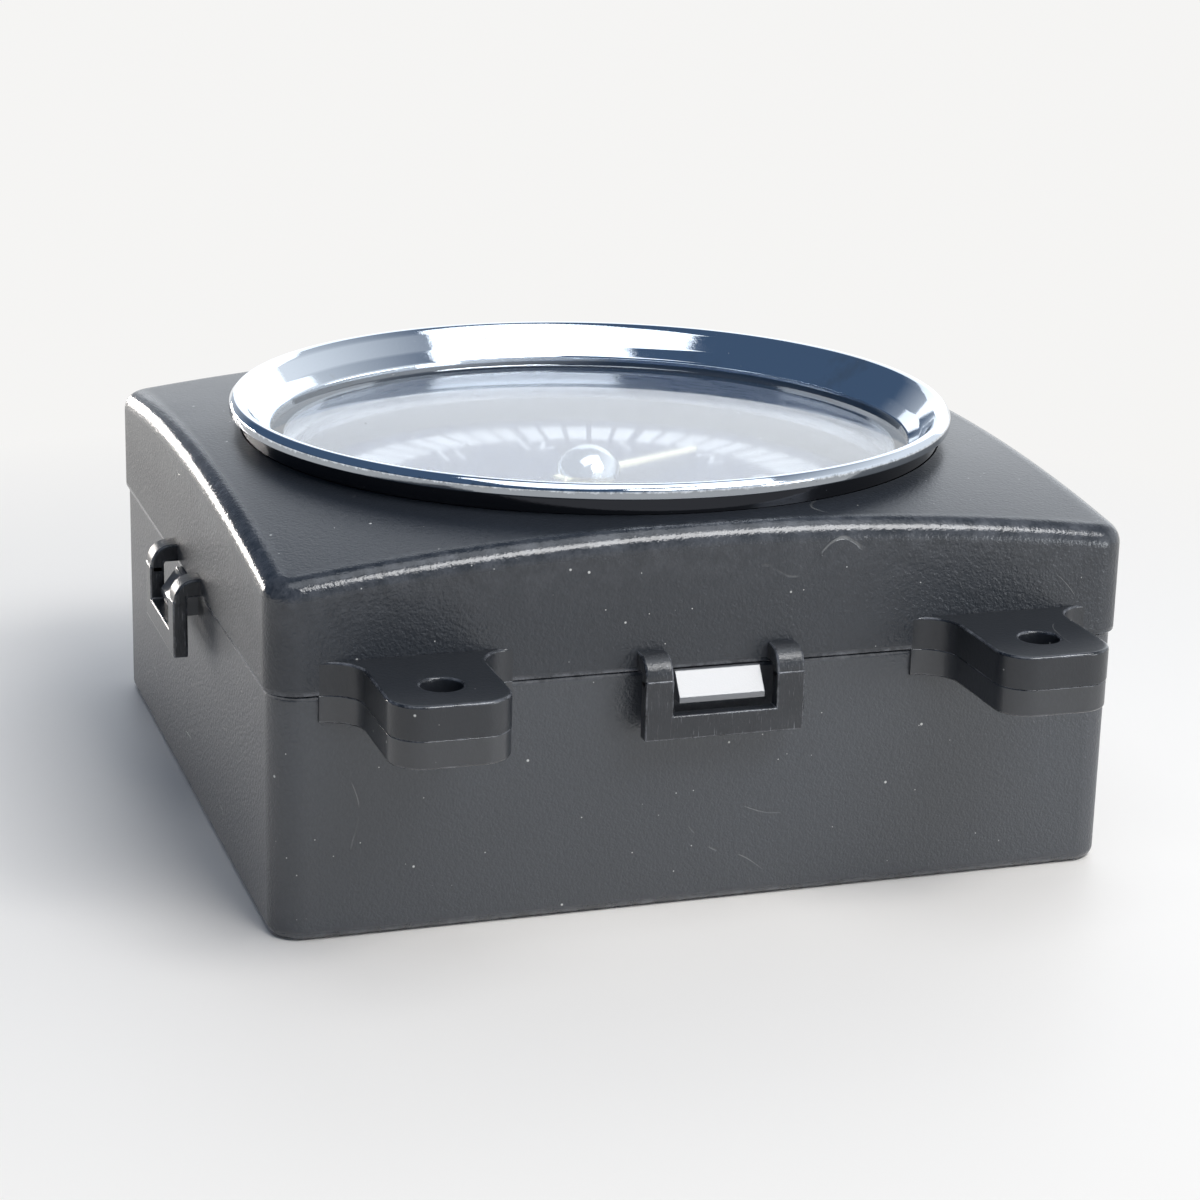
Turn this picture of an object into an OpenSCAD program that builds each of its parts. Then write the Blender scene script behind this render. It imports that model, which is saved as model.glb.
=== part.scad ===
// Dashboard clock in a two-shell plastic case, dial facing +Z
// Millimetres. The origin is on the axis of the hands, at the flat back face.
// Twelve o'clock points along +Y and the two mounting tabs stand out along -Y.

/* [Case] */
// Width of the case across its front wall
body_w = 80; // [79:0.5:100]
// Depth of the case from its front wall to its back wall
body_d = 75; // [75:0.5:95]
// Height of the rear shell, up to the parting line
rear_h = 22.5; // [22:0.5:32]
// Height of the front shell, from the parting line to the crown of its dome
front_h = 15.1; // [15:0.1:19]
// Radius of the domed top
dome_r = 274; // [240:1:500]
// Radius of the upright corners
corner_r = 3; // [2.5:0.1:5]
// Radius of the rounded edge around the domed top
edge_r = 2; // [1:0.1:2.4]
// Thickness of the side walls
wall_t = 2.5; // [1.8:0.1:3]
// Thickness of the domed top
top_t = 2.5; // [1.8:0.1:2.8]
// Thickness of the back wall
floor_t = 2.5; // [1.8:0.1:3.5]
// How far the rear shell's walls stand in from the front shell's
part_step = 0.3; // [0.1:0.05:0.5]
// Height of the locating lip above the parting line
lip_h = 1.8; // [1:0.1:2.5]
// Thickness of the locating lip
lip_t = 1.1; // [0.8:0.1:1.5]
// Gap between the lip and the front shell
lip_gap = 0.1; // [0.05:0.05:0.25]
// Height of the open joint between the two shells' walls, away from the tabs
part_gap = 0.15; // [0.05:0.05:0.3]

/* [Mounting tabs] */
// Distance between the two tab holes
tab_spacing = 54.4; // [46:0.2:60]
// Distance from the front wall to the middle of a tab hole
tab_hole_out = 8; // [7:0.1:12]
// Radius of the tab holes
tab_hole_r = 1.8; // [1.2:0.05:2.6]
// How far a tab stands out of the front wall
tab_out = 13.3; // [12:0.1:18]
// Width of a tab at its tip
tab_w = 10.6; // [9:0.1:14]
// Radius of a tab's outer corners
tab_corner_r = 3; // [1:0.1:4]
// Radius of the flares where a tab meets the wall
tab_flare_r = 3.2; // [1:0.1:4]
// Thickness of the tab half on the front shell
tab_top_t = 3; // [2:0.1:4]
// Thickness of the tab half on the rear shell
tab_low_t = 2.5; // [2:0.1:4]

/* [Snap catches] */
// Width of a catch loop
loop_w = 14.8; // [12:0.1:20]
// Width of each leg of a loop
loop_leg_w = 2.6; // [1.8:0.1:3.5]
// Thickness of a loop
loop_t = 1.4; // [1:0.1:2]
// Gap between a loop and the front shell's wall plane
loop_gap = 1.3; // [1.1:0.1:2]
// Height of the loop's root above the parting line
loop_root_h = 1.8; // [1:0.1:3]
// How far a loop hangs below the parting line
loop_drop = 5.7; // [5:0.1:8]
// Height of the loop's cross bar
loop_bar_h = 2.2; // [1.5:0.1:3]
// How far a wedge stands out of the rear shell
wedge_out = 1.8; // [1.4:0.1:2.4]
// Height of a wedge's upright face
wedge_face_h = 0.5; // [0.3:0.1:1.2]
// Gap between a wedge and the loop around it
wedge_gap = 0.8; // [0.1:0.05:1.2]

/* [Bezel and lens] */
// Outer radius of the chrome bezel
bezel_r = 35.1; // [33:0.1:35.4]
// Height of the bezel's lip above its foot
bezel_h = 6; // [5:0.1:8]
// Height of the bezel's thick rim
bezel_rim_h = 1.35; // [0.8:0.05:2]
// How far the rim overhangs the bezel's neck
bezel_lip = 1.1; // [0.6:0.1:1.6]
// Thickness of the bezel's neck around the lens
bezel_neck_t = 1.3; // [0.8:0.1:1.8]
// Width of the bezel's foot over the lens
bezel_foot = 1.6; // [1:0.1:2.5]
// Gap around the bezel's neck and around the lens
bezel_gap = 0.1; // [0.05:0.05:0.2]
// Depth of the bezel's seat below the crown of the dome
seat_depth = 5.2; // [5:0.1:6]
// Thickness of the ledge that carries the bezel
ledge_t = 1.5; // [1:0.1:2]
// Thickness of the lens
lens_t = 2; // [1.2:0.1:3]
// Thickness of the gasket under the lens
gasket_t = 0.4; // [0.2:0.05:0.8]

/* [Dial] */
// Distance from the bezel's outer edge in to the edge of the dial
dial_inset = 4.7; // [4.7:0.1:6.5]
// Thickness of the dial
dial_t = 0.8; // [0.4:0.1:1]
// Height of the silver ring around the dial, from the dial up to the lens gasket
dial_ring_h = 5.4; // [5:0.1:5.8]
// Radius of the middle hole in the dial and in the light guide
dial_hole_r = 2.4; // [2.3:0.05:2.9]
// Thickness of the light guide under the dial
guide_t = 1.5; // [1:0.1:1.9]
// Distance from the middle to a leg of the light guide
leg_x = 24; // [23.5:0.1:27]
// Radius of a leg of the light guide
leg_r = 1.5; // [1:0.1:1.8]

/* [Hands] */
// Minute at which the minute hand stands
minute_shown = 10.6; // [0:0.2:59.8]
// Hour before the hour hand
hour_shown = 7; // [0:1:11]
// Length of the minute hand from its axis
minute_len = 15.5; // [14:0.5:24]
// Length of the hour hand from its axis
hour_len = 12; // [9:0.5:16]
// Width of the hands near the middle
hand_w = 1.6; // [1:0.1:2.4]
// Thickness of a hand
hand_t = 0.3; // [0.2:0.05:0.4]
// Height of the hour hand above the dial
hand_lift = 1.2; // [0.4:0.1:1.3]
// Radius of the chrome cap over the hands
cap_r = 3.3; // [2.6:0.1:4.5]
// Height of the chrome cap
cap_h = 2.6; // [1.5:0.1:3.2]

/* [Movement] */
// Thickness of each movement plate
plate_t = 1.3; // [1:0.1:1.5]
// Space between the movement plates
plate_gap = 6.7; // [6.6:0.1:7.1]
// Space between the front movement plate and the dial carrier
motion_gap = 3; // [2.9:0.1:3.4]
// Thickness of the dial carrier
carrier_t = 1.2; // [1:0.1:1.6]
// Radius of the minute arbor
arbor_r = 0.8; // [0.6:0.05:0.9]
// Radius of the cannon pinion's pipe
cannon_r = 1.25; // [1.1:0.01:1.3]
// Wall thickness of the hour wheel's pipe
hour_pipe_t = 0.55; // [0.4:0.05:0.6]
// Running clearance of each shaft in its hole
run_gap = 0.05; // [0.02:0.01:0.1]
// Distance between the minute arbor and the minute wheel's post
motion_dist = 7.5; // [7.4:0.05:7.8]
// Module of the wheel train's first pair
train_m1 = 0.36; // [0.34:0.005:0.37]
// Module of the wheel train's second pair
train_m2 = 0.3; // [0.28:0.005:0.31]
// Thickness of a wheel
wheel_t = 1; // [0.6:0.05:1.05]
// Radius of the rotor magnet
magnet_r = 2.6; // [2:0.1:2.8]
// Length of the coil winding
coil_len = 16; // [12:0.5:18]

/* [Electronics] */
// Height of the circuit board above the back wall
board_lift = 5; // [4.6:0.1:5.5]
// Thickness of the circuit board
board_t = 1.6; // [1:0.1:1.8]
// Gap between the circuit board and the rear shell's walls
board_gap = 2.2; // [1.6:0.1:3]
// Width of the connector socket
socket_w = 16.4; // [14:0.1:22]
// Depth of the connector socket
socket_d = 8.4; // [7.6:0.1:9.4]
// Wall thickness of the connector socket
socket_t = 1.2; // [0.8:0.1:1.4]
// Distance from the hands' axis to the middle of the socket
socket_y = 24; // [23:0.5:26]

/* [Hidden] */
$fn = 64;
dome_fn = 360;
eps = 0.01;

// Heights of the case
z_part = rear_h;
z_apex = rear_h + front_h;
z_dome = z_apex - dome_r;

// Heights of the bezel, lens and dial, worked out from the seat down
z_seat = z_apex - seat_depth;
z_ledge = z_seat - ledge_t;
z_lens = z_seat + gasket_t;
z_lens_top = z_lens + lens_t;
z_bezel_top = z_seat + bezel_h;
z_dial = z_seat - dial_ring_h;
z_guide = z_dial - dial_t;
z_carrier = z_guide - guide_t;

// Heights of the movement
z_front_plate = z_carrier - carrier_t - motion_gap;
z_back_plate = z_front_plate - plate_t - plate_gap;
z_base = z_back_plate - plate_t;
end_shake = 0.3;

// Height of the circuit board's underside and top
z_board = floor_t + board_lift;
z_board_top = z_board + board_t;

// Dial, bezel, lens and ledge radii
dial_r = bezel_r - dial_inset;
neck_r = bezel_r - bezel_lip;
recess_r = neck_r - bezel_neck_t;
foot_r = recess_r - bezel_foot;
lens_r = recess_r - bezel_gap;
collar_t = 2.3;
collar_r = neck_r + bezel_gap + collar_t;
ledge_hole_r = dial_r + 0.3;
dial_ring_t = 0.5;
dial_ring_step = dial_ring_h - 1.6;
carrier_rim_t = 1.4;
carrier_rim_gap = 0.1;

// Tabs and catches
tab_x = tab_spacing / 2;
wedge_w = loop_w - 2 * loop_leg_w - 2 * wedge_gap;
z_bar_top = z_part - loop_drop + loop_bar_h;
wedge_lift = 0.8;
wedge_root = 0.3;
ear_r = 2;
ear_step = 0.12;

// Screws: shank radius, head radius and head height of the case screws
screw_r = 1.1;
screw_fit = 0.05;
screw_clear = 0.2;
screw_head_r = 2.2;
screw_head_h = 1.6;
boss_r = 3;
boss_inset = 3.9;
boss_x = body_w / 2 - wall_t - boss_inset;
boss_y = body_d / 2 - wall_t - boss_inset;
case_screw_len = 4;
screw_tip_gap = 0.2;
board_screw_len = 5.5;

// Movement screws and pillars
small_r = 0.8;
small_head_r = 1.6;
small_head_h = 1.3;
small_bite = 0.8;
pillar_r = 1.6;
pillar_x0 = -13;
pillar_x1 = 17.8;
pillar_y0 = -25;
pillar_y1 = 9.5;
pillar_at = [
    [pillar_x0, pillar_y0], [pillar_x1, pillar_y0], [pillar_x0, pillar_y1], [pillar_x1, pillar_y1]
];
plate_margin = 3;
plate_corner_r = 2.5;

// Tooth counts
cannon_n = 12;
minute_n = 36;
minute_pinion_n = 10;
hour_n = 40;
centre_n = 50;
inter_pinion_n = 10;
inter_n = 48;
rotor_n = 8;

// Modules of the motion work follow from its one centre distance
motion_m1 = 2 * motion_dist / (cannon_n + minute_n);
motion_m2 = 2 * motion_dist / (minute_pinion_n + hour_n);

// Places of the train's axes
motion_a = 135;
post_at = motion_dist * [cos(motion_a), sin(motion_a)];
inter_dist = train_m1 * (centre_n + inter_pinion_n) / 2;
inter_a = -90;
inter_at = inter_dist * [cos(inter_a), sin(inter_a)];
rotor_dist = train_m2 * (inter_n + rotor_n) / 2;
rotor_a = -10;
rotor_at = inter_at + rotor_dist * [cos(rotor_a), sin(rotor_a)];

// Heights of the wheels
centre_wheel_lift = 4.9;
inter_wheel_lift = 2.9;
z_centre_wheel = z_back_plate + centre_wheel_lift;
z_inter_wheel = z_back_plate + inter_wheel_lift;
z_minute_wheel = z_front_plate + end_shake;
wheel_gap = 0.2;
z_hour_wheel = z_minute_wheel + wheel_t + wheel_gap;
post_r = 0.6;
pivot_r = 0.5;
shaft_inset = 0.2;

// Stator and coil
stator_t = 1;
stator_lift = 0.8;
stator_arm_w = 3.5;
stator_foot_r = 1.3;
z_stator = z_back_plate + stator_lift;
magnet_gap = 0.5;
coil_y = -22;
coil_x = (pillar_x0 + pillar_x1) / 2 + 0.4;
flange_t = 1.2;
flange_r = 2.2;
flange_gap = 0.15;
core_w = 1.8;
core_t = 1;
core_fit = 0.05;
spool_r = 1.35;
winding_r = 2.05;
coil_half = coil_len / 2 + flange_t;
arm_x = coil_half + flange_gap + stator_arm_w / 2;
z_core = z_stator + stator_t;
z_coil = z_core + core_t / 2;
terminal_r = 0.4;
terminal_bite = 0.9;

// Middles of the four feet that the stator stands on: two arm ends, two rear corners
small_hole_r = 0.65;
stator_foot_in = 1.5;
stator_feet = [
    [coil_x - arm_x, coil_y], [coil_x + arm_x, coil_y],
    [coil_x - arm_x, inter_at[1] + stator_foot_in], [coil_x + arm_x, inter_at[1] + stator_foot_in]
];

// Hands
z_hour_hand = z_dial + hand_lift;
z_minute_hand = z_hour_hand + 2 * hand_t;
hour_pipe_r = cannon_r + run_gap + hour_pipe_t;
arbor_tip = 0.35;
arbor_tip_gap = 0.05;
minute_deg = -6 * minute_shown;
hour_deg = -30 * (hour_shown + minute_shown / 60);

// Connector
socket_mouth = 0.4;
socket_roof = 1.5;
socket_clear = 0.3;
pin_w = 0.64;
pin_pitch_x = 4.2;
pin_pitch_y = 2.6;
pin_tip = 4.2;
pin_stub = 0.9;

// Circuit board and the parts on it: middles, then sizes along X, Y and Z
board_w = body_w - 2 * part_step - 2 * wall_t - 2 * board_gap;
board_d = body_d - 2 * part_step - 2 * wall_t - 2 * board_gap;
chip_at = [-16, 20];
chip_size = [10, 7.5, 1.6];
crystal_at = [17, 21];
crystal_size = [11, 4.6, 3.4];
cap_inset = 8;
cap_at = [cap_inset - board_w / 2, -12];
cap_body_r = 3.2;
cap_body_h = 8;
led_size = [3.5, 2.8];
led_h = 1.9;
resistor_inset = 7;
resistor_at = [board_w / 2 - resistor_inset, -18];
resistor_size = [2, 1.25, 0.6];
resistor_pitch = 3.4;
resistor_n = 5;

// Rectangle with round corners, flat
module rounded(w, d, r) {
    square([w - 2 * r, d], center = true);
    square([w, d - 2 * r], center = true);
    for (x = [-1, 1], y = [-1, 1])
        translate([x * (w / 2 - r), y * (d / 2 - r)]) circle(r);
}

// Ring between two radii
module tube(r_out, r_in, h) {
    difference() {
        cylinder(r = r_out, h = h);
        translate([0, 0, -eps]) cylinder(r = r_in, h = h + 2 * eps);
    }
}

// Copies at the four corners of a centred rectangle
module corners(x, y) {
    for (sx = [-1, 1], sy = [-1, 1]) translate([sx * x, sy * y, 0]) children();
}

// Copies on each of the movement's four pillars
module on_pillars(z) {
    for (p = pillar_at) translate([p[0], p[1], z]) children();
}

// Copies on the four walls, turned so that the wall plane is at -Y
module on_walls(w, d) {
    for (a = [0, 180]) rotate([0, 0, a]) translate([0, -d / 2, 0]) children();
    for (a = [90, -90]) rotate([0, 0, a]) translate([0, -w / 2, 0]) children();
}

// Cutter that rounds the edge where a wall at distance h meets the dome, between two corners
module side_rounding(h, length) {
    s0 = h - edge_r;
    p0 = sqrt(pow(dome_r - edge_r, 2) - s0 * s0);
    k = (dome_r + 1) / (dome_r - edge_r);
    intersection() {
        translate([-length / 2, -h - 1, dome_r - front_h]) cube([length, edge_r + 4, front_h + 1]);
        rotate([90, 0, 0]) rotate_extrude($fn = dome_fn)
            difference() {
                polygon([[p0, s0], [p0, h + 1], [p0 * k, h + 1], [p0 * k, s0 * k]]);
                translate([p0, s0]) circle(edge_r, $fn = 96);
            }
    }
}

// Cutter that rounds the dome's edge round one upright corner
module corner_rounding() {
    cx = body_w / 2 - corner_r;
    cy = body_d / 2 - corner_r;
    ex = cx + corner_r * cos(45);
    ey = cy + corner_r * sin(45);
    edge = z_dome + sqrt(dome_r * dome_r - ex * ex - ey * ey);
    slope = sqrt(ex * ex + ey * ey) / (edge - z_dome);
    run = sqrt(1 + slope * slope);
    zc = edge + slope * edge_r - edge_r * run;
    c = corner_r - edge_r;
    reach = (edge_r + 1) / run;
    translate([cx, cy, 0]) intersection() {
        translate([0, 0, z_part]) cube([corner_r + 1, corner_r + 1, front_h]);
        rotate_extrude() difference() {
            polygon([[c, zc], [corner_r + 1, zc], [corner_r + 1, zc + edge_r + 1],
                [c + slope * reach, zc + reach]]);
            translate([c, zc]) circle(edge_r, $fn = 96);
        }
    }
}

// Height of the dome's surface at a distance from the hands' axis
function dome_z(r) = z_dome + sqrt(dome_r * dome_r - r * r);

// Outside of the front shell as one solid
module dome_block() {
    difference() {
        intersection() {
            translate([0, 0, z_part]) linear_extrude(front_h + 1) rounded(body_w, body_d, corner_r);
            translate([0, 0, z_dome]) sphere(dome_r, $fn = dome_fn);
        }
        translate([0, 0, z_dome]) for (a = [0, 180]) {
            rotate([0, 0, a]) side_rounding(body_d / 2, body_w - 2 * corner_r);
            rotate([0, 0, a + 90]) side_rounding(body_w / 2, body_d - 2 * corner_r);
        }
        for (mx = [0, 1], my = [0, 1]) mirror([mx, 0, 0]) mirror([0, my, 0]) corner_rounding();
    }
}

// Outline of one tab, from the wall plane at y = 0 outward along -Y
module tab_outline() {
    hw = tab_w / 2;
    translate([-hw, -tab_out + tab_corner_r]) square([tab_w, tab_out - tab_corner_r + wall_t / 2]);
    translate([-hw + tab_corner_r, -tab_out]) square([tab_w - 2 * tab_corner_r, tab_corner_r + 1]);
    for (s = [-1, 1]) {
        translate([s * (hw - tab_corner_r), -tab_out + tab_corner_r]) circle(tab_corner_r);
        difference() {
            translate([s > 0 ? hw - eps : -hw - tab_flare_r, -tab_flare_r])
                square([tab_flare_r + eps, tab_flare_r + wall_t / 2]);
            translate([s * (hw + tab_flare_r), -tab_flare_r]) circle(tab_flare_r);
        }
    }
}

// Both tabs as plates between two heights
module tabs(z0, z1) {
    for (s = [-1, 1])
        translate([s * tab_x, -body_d / 2, z0]) linear_extrude(z1 - z0) tab_outline();
}

// Holes through both tabs
module tab_holes() {
    for (s = [-1, 1])
        translate([s * tab_x, -body_d / 2 - tab_hole_out, z_part - tab_low_t - 1])
            cylinder(r = tab_hole_r, h = tab_top_t + tab_low_t + 2);
}

// One catch loop that hangs from the front shell, on the wall plane at y = 0. Its ears are
// rounded above the parting plane and stand back a little from the legs below it.
module catch_loop() {
    out = loop_gap + loop_t;
    ear_out = out - ear_step;
    z_top = z_part + loop_root_h;
    z_low = z_part - loop_drop;
    z_ear = z_top - ear_r;
    for (s = [-1, 1]) translate([s * (loop_w - loop_leg_w) / 2 - loop_leg_w / 2, 0, 0])
        rotate([90, 0, 90]) linear_extrude(loop_leg_w) {
            translate([-out, z_low]) square([loop_t, z_ear - z_low]);
            difference() {
                union() {
                    translate([-ear_out, z_low]) square([ear_out - loop_gap, z_top - z_low]);
                    translate([-ear_out, z_part]) square([ear_out + wall_t / 2, loop_root_h]);
                }
                difference() {
                    translate([-ear_out - 1, z_ear]) square([ear_r + 1, ear_r + 1]);
                    translate([ear_r - ear_out, z_ear]) circle(ear_r);
                }
            }
        }
    translate([-loop_w / 2, -out, z_low]) cube([loop_w, loop_t, loop_bar_h]);
}

// One wedge on the rear shell, on the front shell's wall plane at y = 0
module wedge() {
    z1 = z_part - part_gap;
    z0 = z_bar_top + wedge_lift;
    translate([-wedge_w / 2, 0, 0]) rotate([90, 0, 90]) linear_extrude(wedge_w)
        polygon([[wall_t / 2 + part_step, z0], [-wedge_out, z0], [-wedge_out, z0 + wedge_face_h],
            [-wedge_root, z1], [wall_t / 2 + part_step, z1]]);
}

module front_housing() {
    iw = body_w - 2 * wall_t;
    id = body_d - 2 * wall_t;
    bury = top_t * 0.4;
    color("#26282d") difference() {
        union() {
            difference() {
                dome_block();
                intersection() {
                    translate([0, 0, z_part - 1]) linear_extrude(front_h + 1)
                        rounded(iw, id, corner_r - 1);
                    translate([0, 0, z_dome]) sphere(dome_r - top_t, $fn = dome_fn);
                }
            }
            translate([0, 0, z_ledge]) cylinder(r = collar_r, h = dome_z(collar_r) - bury - z_ledge);
            corners(boss_x, boss_y) translate([0, 0, z_carrier])
                cylinder(r = boss_r, h = dome_z(norm([boss_x, boss_y]) + boss_r) - bury - z_carrier);
            tabs(z_part, z_part + tab_top_t);
            on_walls(body_w, body_d) catch_loop();
        }
        translate([0, 0, z_seat]) cylinder(r = neck_r + bezel_gap, h = front_h);
        translate([0, 0, z_ledge - 1]) cylinder(r = ledge_hole_r, h = front_h);
        corners(boss_x, boss_y) translate([0, 0, z_carrier - 1])
            cylinder(r = screw_r + screw_fit, h = case_screw_len + screw_tip_gap + 1);
        tab_holes();
    }
}

module rear_housing() {
    w = body_w - 2 * part_step;
    d = body_d - 2 * part_step;
    iw = w - 2 * wall_t;
    id = d - 2 * wall_t;
    lip_w = body_w - 2 * wall_t - 2 * lip_gap;
    lip_d = body_d - 2 * wall_t - 2 * lip_gap;
    lip_root = 2;
    color("#202226") difference() {
        union() {
            difference() {
                linear_extrude(z_part - part_gap) rounded(w, d, corner_r);
                translate([0, 0, floor_t]) linear_extrude(z_part) rounded(iw, id, corner_r - 1);
            }
            translate([0, 0, z_part - lip_root]) linear_extrude(lip_root + lip_h) difference() {
                rounded(lip_w, lip_d, corner_r - 1);
                rounded(lip_w - 2 * lip_t, lip_d - 2 * lip_t, corner_r - 2);
            }
            corners(boss_x, boss_y) cylinder(r = boss_r, h = z_board);
            tabs(z_part - tab_low_t, z_part);
            on_walls(body_w, body_d) wedge();
        }
        corners(boss_x, boss_y) translate([0, 0, z_board - board_screw_len])
            cylinder(r = screw_r + screw_fit, h = board_screw_len + 1);
        translate([0, socket_y, floor_t / 2])
            cube([socket_w + 2 * socket_clear, socket_d + 2 * socket_clear, 2 * floor_t], center = true);
        tab_holes();
    }
}

// Chrome ring: a rounded rim, a cone down to the lens and a neck into the case
module bezel_ring() {
    rim_r = 0.6;
    top_w = 0.2;
    color("#d8dadd") rotate_extrude($fn = 180) {
        polygon([
            [foot_r, z_lens_top], [recess_r, z_lens_top], [recess_r, z_seat], [neck_r, z_seat],
            [neck_r, z_bezel_top - bezel_rim_h], [bezel_r, z_bezel_top - bezel_rim_h],
            [bezel_r, z_bezel_top - rim_r], [bezel_r - rim_r, z_bezel_top],
            [bezel_r - rim_r - top_w, z_bezel_top]
        ]);
        translate([bezel_r - rim_r, z_bezel_top - rim_r]) circle(rim_r);
    }
}

module lens() {
    color("#cfe0ea", 0.35) translate([0, 0, z_lens]) cylinder(r = lens_r, h = lens_t, $fn = 180);
}

module lens_gasket() {
    color("#111111") translate([0, 0, z_seat]) tube(lens_r, dial_r - dial_ring_t, gasket_t, $fn = 180);
}

// Silver ring with one step, between the dial and the lens gasket
module dial_ring() {
    color("#c3c6ca") translate([0, 0, z_dial]) rotate_extrude($fn = 180)
        polygon([
            [dial_r - 2 * dial_ring_t, 0], [dial_r, 0], [dial_r, dial_ring_h],
            [dial_r - dial_ring_t, dial_ring_h], [dial_r - dial_ring_t, dial_ring_step],
            [dial_r - 2 * dial_ring_t, dial_ring_step]
        ]);
}

module dial() {
    color("#1b2232") translate([0, 0, z_guide]) tube(dial_r, dial_hole_r, dial_t, $fn = 180);
}

// Clear plate behind the dial, with two legs that reach down to the lamps
module light_guide() {
    leg_foot = 0.3;
    z_led_top = z_board_top + led_h;
    color("#eef3f6", 0.6) {
        translate([0, 0, z_carrier]) tube(dial_r, dial_hole_r, guide_t, $fn = 180);
        for (s = [-1, 1]) translate([s * leg_x, 0, z_led_top + leg_foot])
            cylinder(r = leg_r, h = z_carrier - z_led_top - leg_foot + eps);
    }
}

// White plate that holds the dial unit and the movement
module dial_carrier() {
    edge_gap = lip_gap + lip_t + 0.4;
    leg_gap = 0.3;
    rim_r = dial_r + 0.1;
    z_under = z_carrier - carrier_t;
    w = body_w - 2 * wall_t - 2 * edge_gap;
    d = body_d - 2 * wall_t - 2 * edge_gap;
    color("#eeeeea") difference() {
        union() {
            translate([0, 0, z_under]) linear_extrude(carrier_t) rounded(w, d, corner_r);
            translate([0, 0, z_carrier - eps])
                tube(rim_r + carrier_rim_t, rim_r, z_ledge - carrier_rim_gap - z_carrier + eps);
            on_pillars(z_front_plate) cylinder(r = pillar_r + 0.5, h = motion_gap + eps);
        }
        translate([0, 0, z_under - 1]) cylinder(r = dial_hole_r, h = carrier_t + 2);
        for (s = [-1, 1]) translate([s * leg_x, 0, z_under - 1])
            cylinder(r = leg_r + leg_gap, h = carrier_t + 2);
        corners(boss_x, boss_y) translate([0, 0, z_under - 1])
            cylinder(r = screw_r + screw_clear, h = carrier_t + 2);
        on_pillars(z_front_plate - 1)
            cylinder(r = small_r + screw_fit, h = motion_gap + small_bite + 1);
    }
}

// Pan-head screw whose head sits on z = 0 and whose shank points along +Z
module screw(shank_r, head_r, head_h, length) {
    slot_w = head_r * 0.3;
    difference() {
        union() {
            translate([0, 0, -head_h]) cylinder(r = head_r, h = head_h);
            translate([0, 0, -eps]) cylinder(r = shank_r, h = length + eps);
        }
        translate([-head_r - 1, -slot_w / 2, -head_h - 1]) cube([2 * head_r + 2, slot_w, 1 + head_h / 2]);
    }
}

module carrier_screws() {
    color("#b9bcc0") corners(boss_x, boss_y) translate([0, 0, z_carrier - carrier_t])
        screw(screw_r, screw_head_r, screw_head_h, carrier_t + case_screw_len);
}

module board_screws() {
    color("#b9bcc0") corners(boss_x, boss_y) translate([0, 0, z_board_top]) mirror([0, 0, 1])
        screw(screw_r, screw_head_r, screw_head_h, board_t + board_screw_len - 0.5);
}

module movement_screws() {
    reach = z_carrier - carrier_t + small_bite - z_base;
    color("#b9bcc0") on_pillars(z_base) screw(small_r, small_head_r, small_head_h, reach - screw_tip_gap);
}

// Flat hand that points along +Y, with a hub around a pipe of the given radius
module hand(length, pipe_r) {
    tip_w = hand_w * 0.45;
    tail = 4;
    difference() {
        linear_extrude(hand_t) {
            polygon([[-hand_w / 2, -tail], [hand_w / 2, -tail], [tip_w / 2, length - tip_w],
                [0, length], [-tip_w / 2, length - tip_w]]);
            circle(pipe_r + 0.7);
        }
        translate([0, 0, -1]) cylinder(r = pipe_r, h = hand_t + 2);
    }
}

module minute_hand() {
    color("#eee8c8") translate([0, 0, z_minute_hand]) rotate([0, 0, minute_deg])
        hand(minute_len, cannon_r);
}

module hour_hand() {
    color("#eee8c8") translate([0, 0, z_hour_hand]) rotate([0, 0, hour_deg])
        hand(hour_len, hour_pipe_r);
}

// Domed cap that sits on the minute hand and on the arbor's tip
module hand_cap() {
    ball_r = (cap_r * cap_r + cap_h * cap_h) / (2 * cap_h);
    z0 = z_minute_hand + hand_t;
    color("#dfe2e5") difference() {
        intersection() {
            translate([0, 0, z0]) cylinder(r = cap_r + 1, h = cap_h + 1);
            translate([0, 0, z0 + cap_h - ball_r]) sphere(ball_r, $fn = 180);
        }
        translate([0, 0, z0 - 1]) cylinder(r = arbor_r, h = 1 + arbor_tip + arbor_tip_gap);
    }
}

// Points of a gear outline with n teeth, the first tooth on +X
function gear_points(n, m) = let (
    radii = [m * (n / 2 - 1.15), m * n / 2, m * (n / 2 + 0.75)],
    share = [0.29, 0.205, 0.1]
) [for (i = [0 : n - 1], k = [0 : 5])
    let (j = k < 3 ? k : 5 - k, a = (i + (k < 3 ? -share[j] : share[j])) * 360 / n)
    radii[j] * [cos(a), sin(a)]];

// Turn that puts gear b in mesh with gear a, where b lies from a in direction way
function mesh_turn(way, turn_a, na, nb) = way + 180 - 180 / nb + (way - turn_a) * na / nb;

module gear(n, m, h) {
    linear_extrude(h) polygon(gear_points(n, m));
}

module centre_arbor() {
    collar_h = 0.6;
    top = z_minute_hand + hand_t + arbor_tip;
    color("#9a9da1") {
        translate([0, 0, z_base + shaft_inset]) cylinder(r = arbor_r, h = top - z_base - shaft_inset);
        translate([0, 0, z_back_plate + end_shake]) tube(arbor_r + 0.7, arbor_r - eps, collar_h);
    }
}

module centre_wheel() {
    hub_r = 1.6;
    z_hub = z_centre_wheel - 0.4;
    hub_top = z_front_plate - plate_t - end_shake;
    color("#c9a24a") difference() {
        union() {
            translate([0, 0, z_centre_wheel]) gear(centre_n, train_m1, wheel_t);
            translate([0, 0, z_hub]) cylinder(r = hub_r, h = hub_top - z_hub);
        }
        translate([0, 0, z_hub - 1]) cylinder(r = arbor_r, h = hub_top - z_hub + 2);
    }
}

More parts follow.
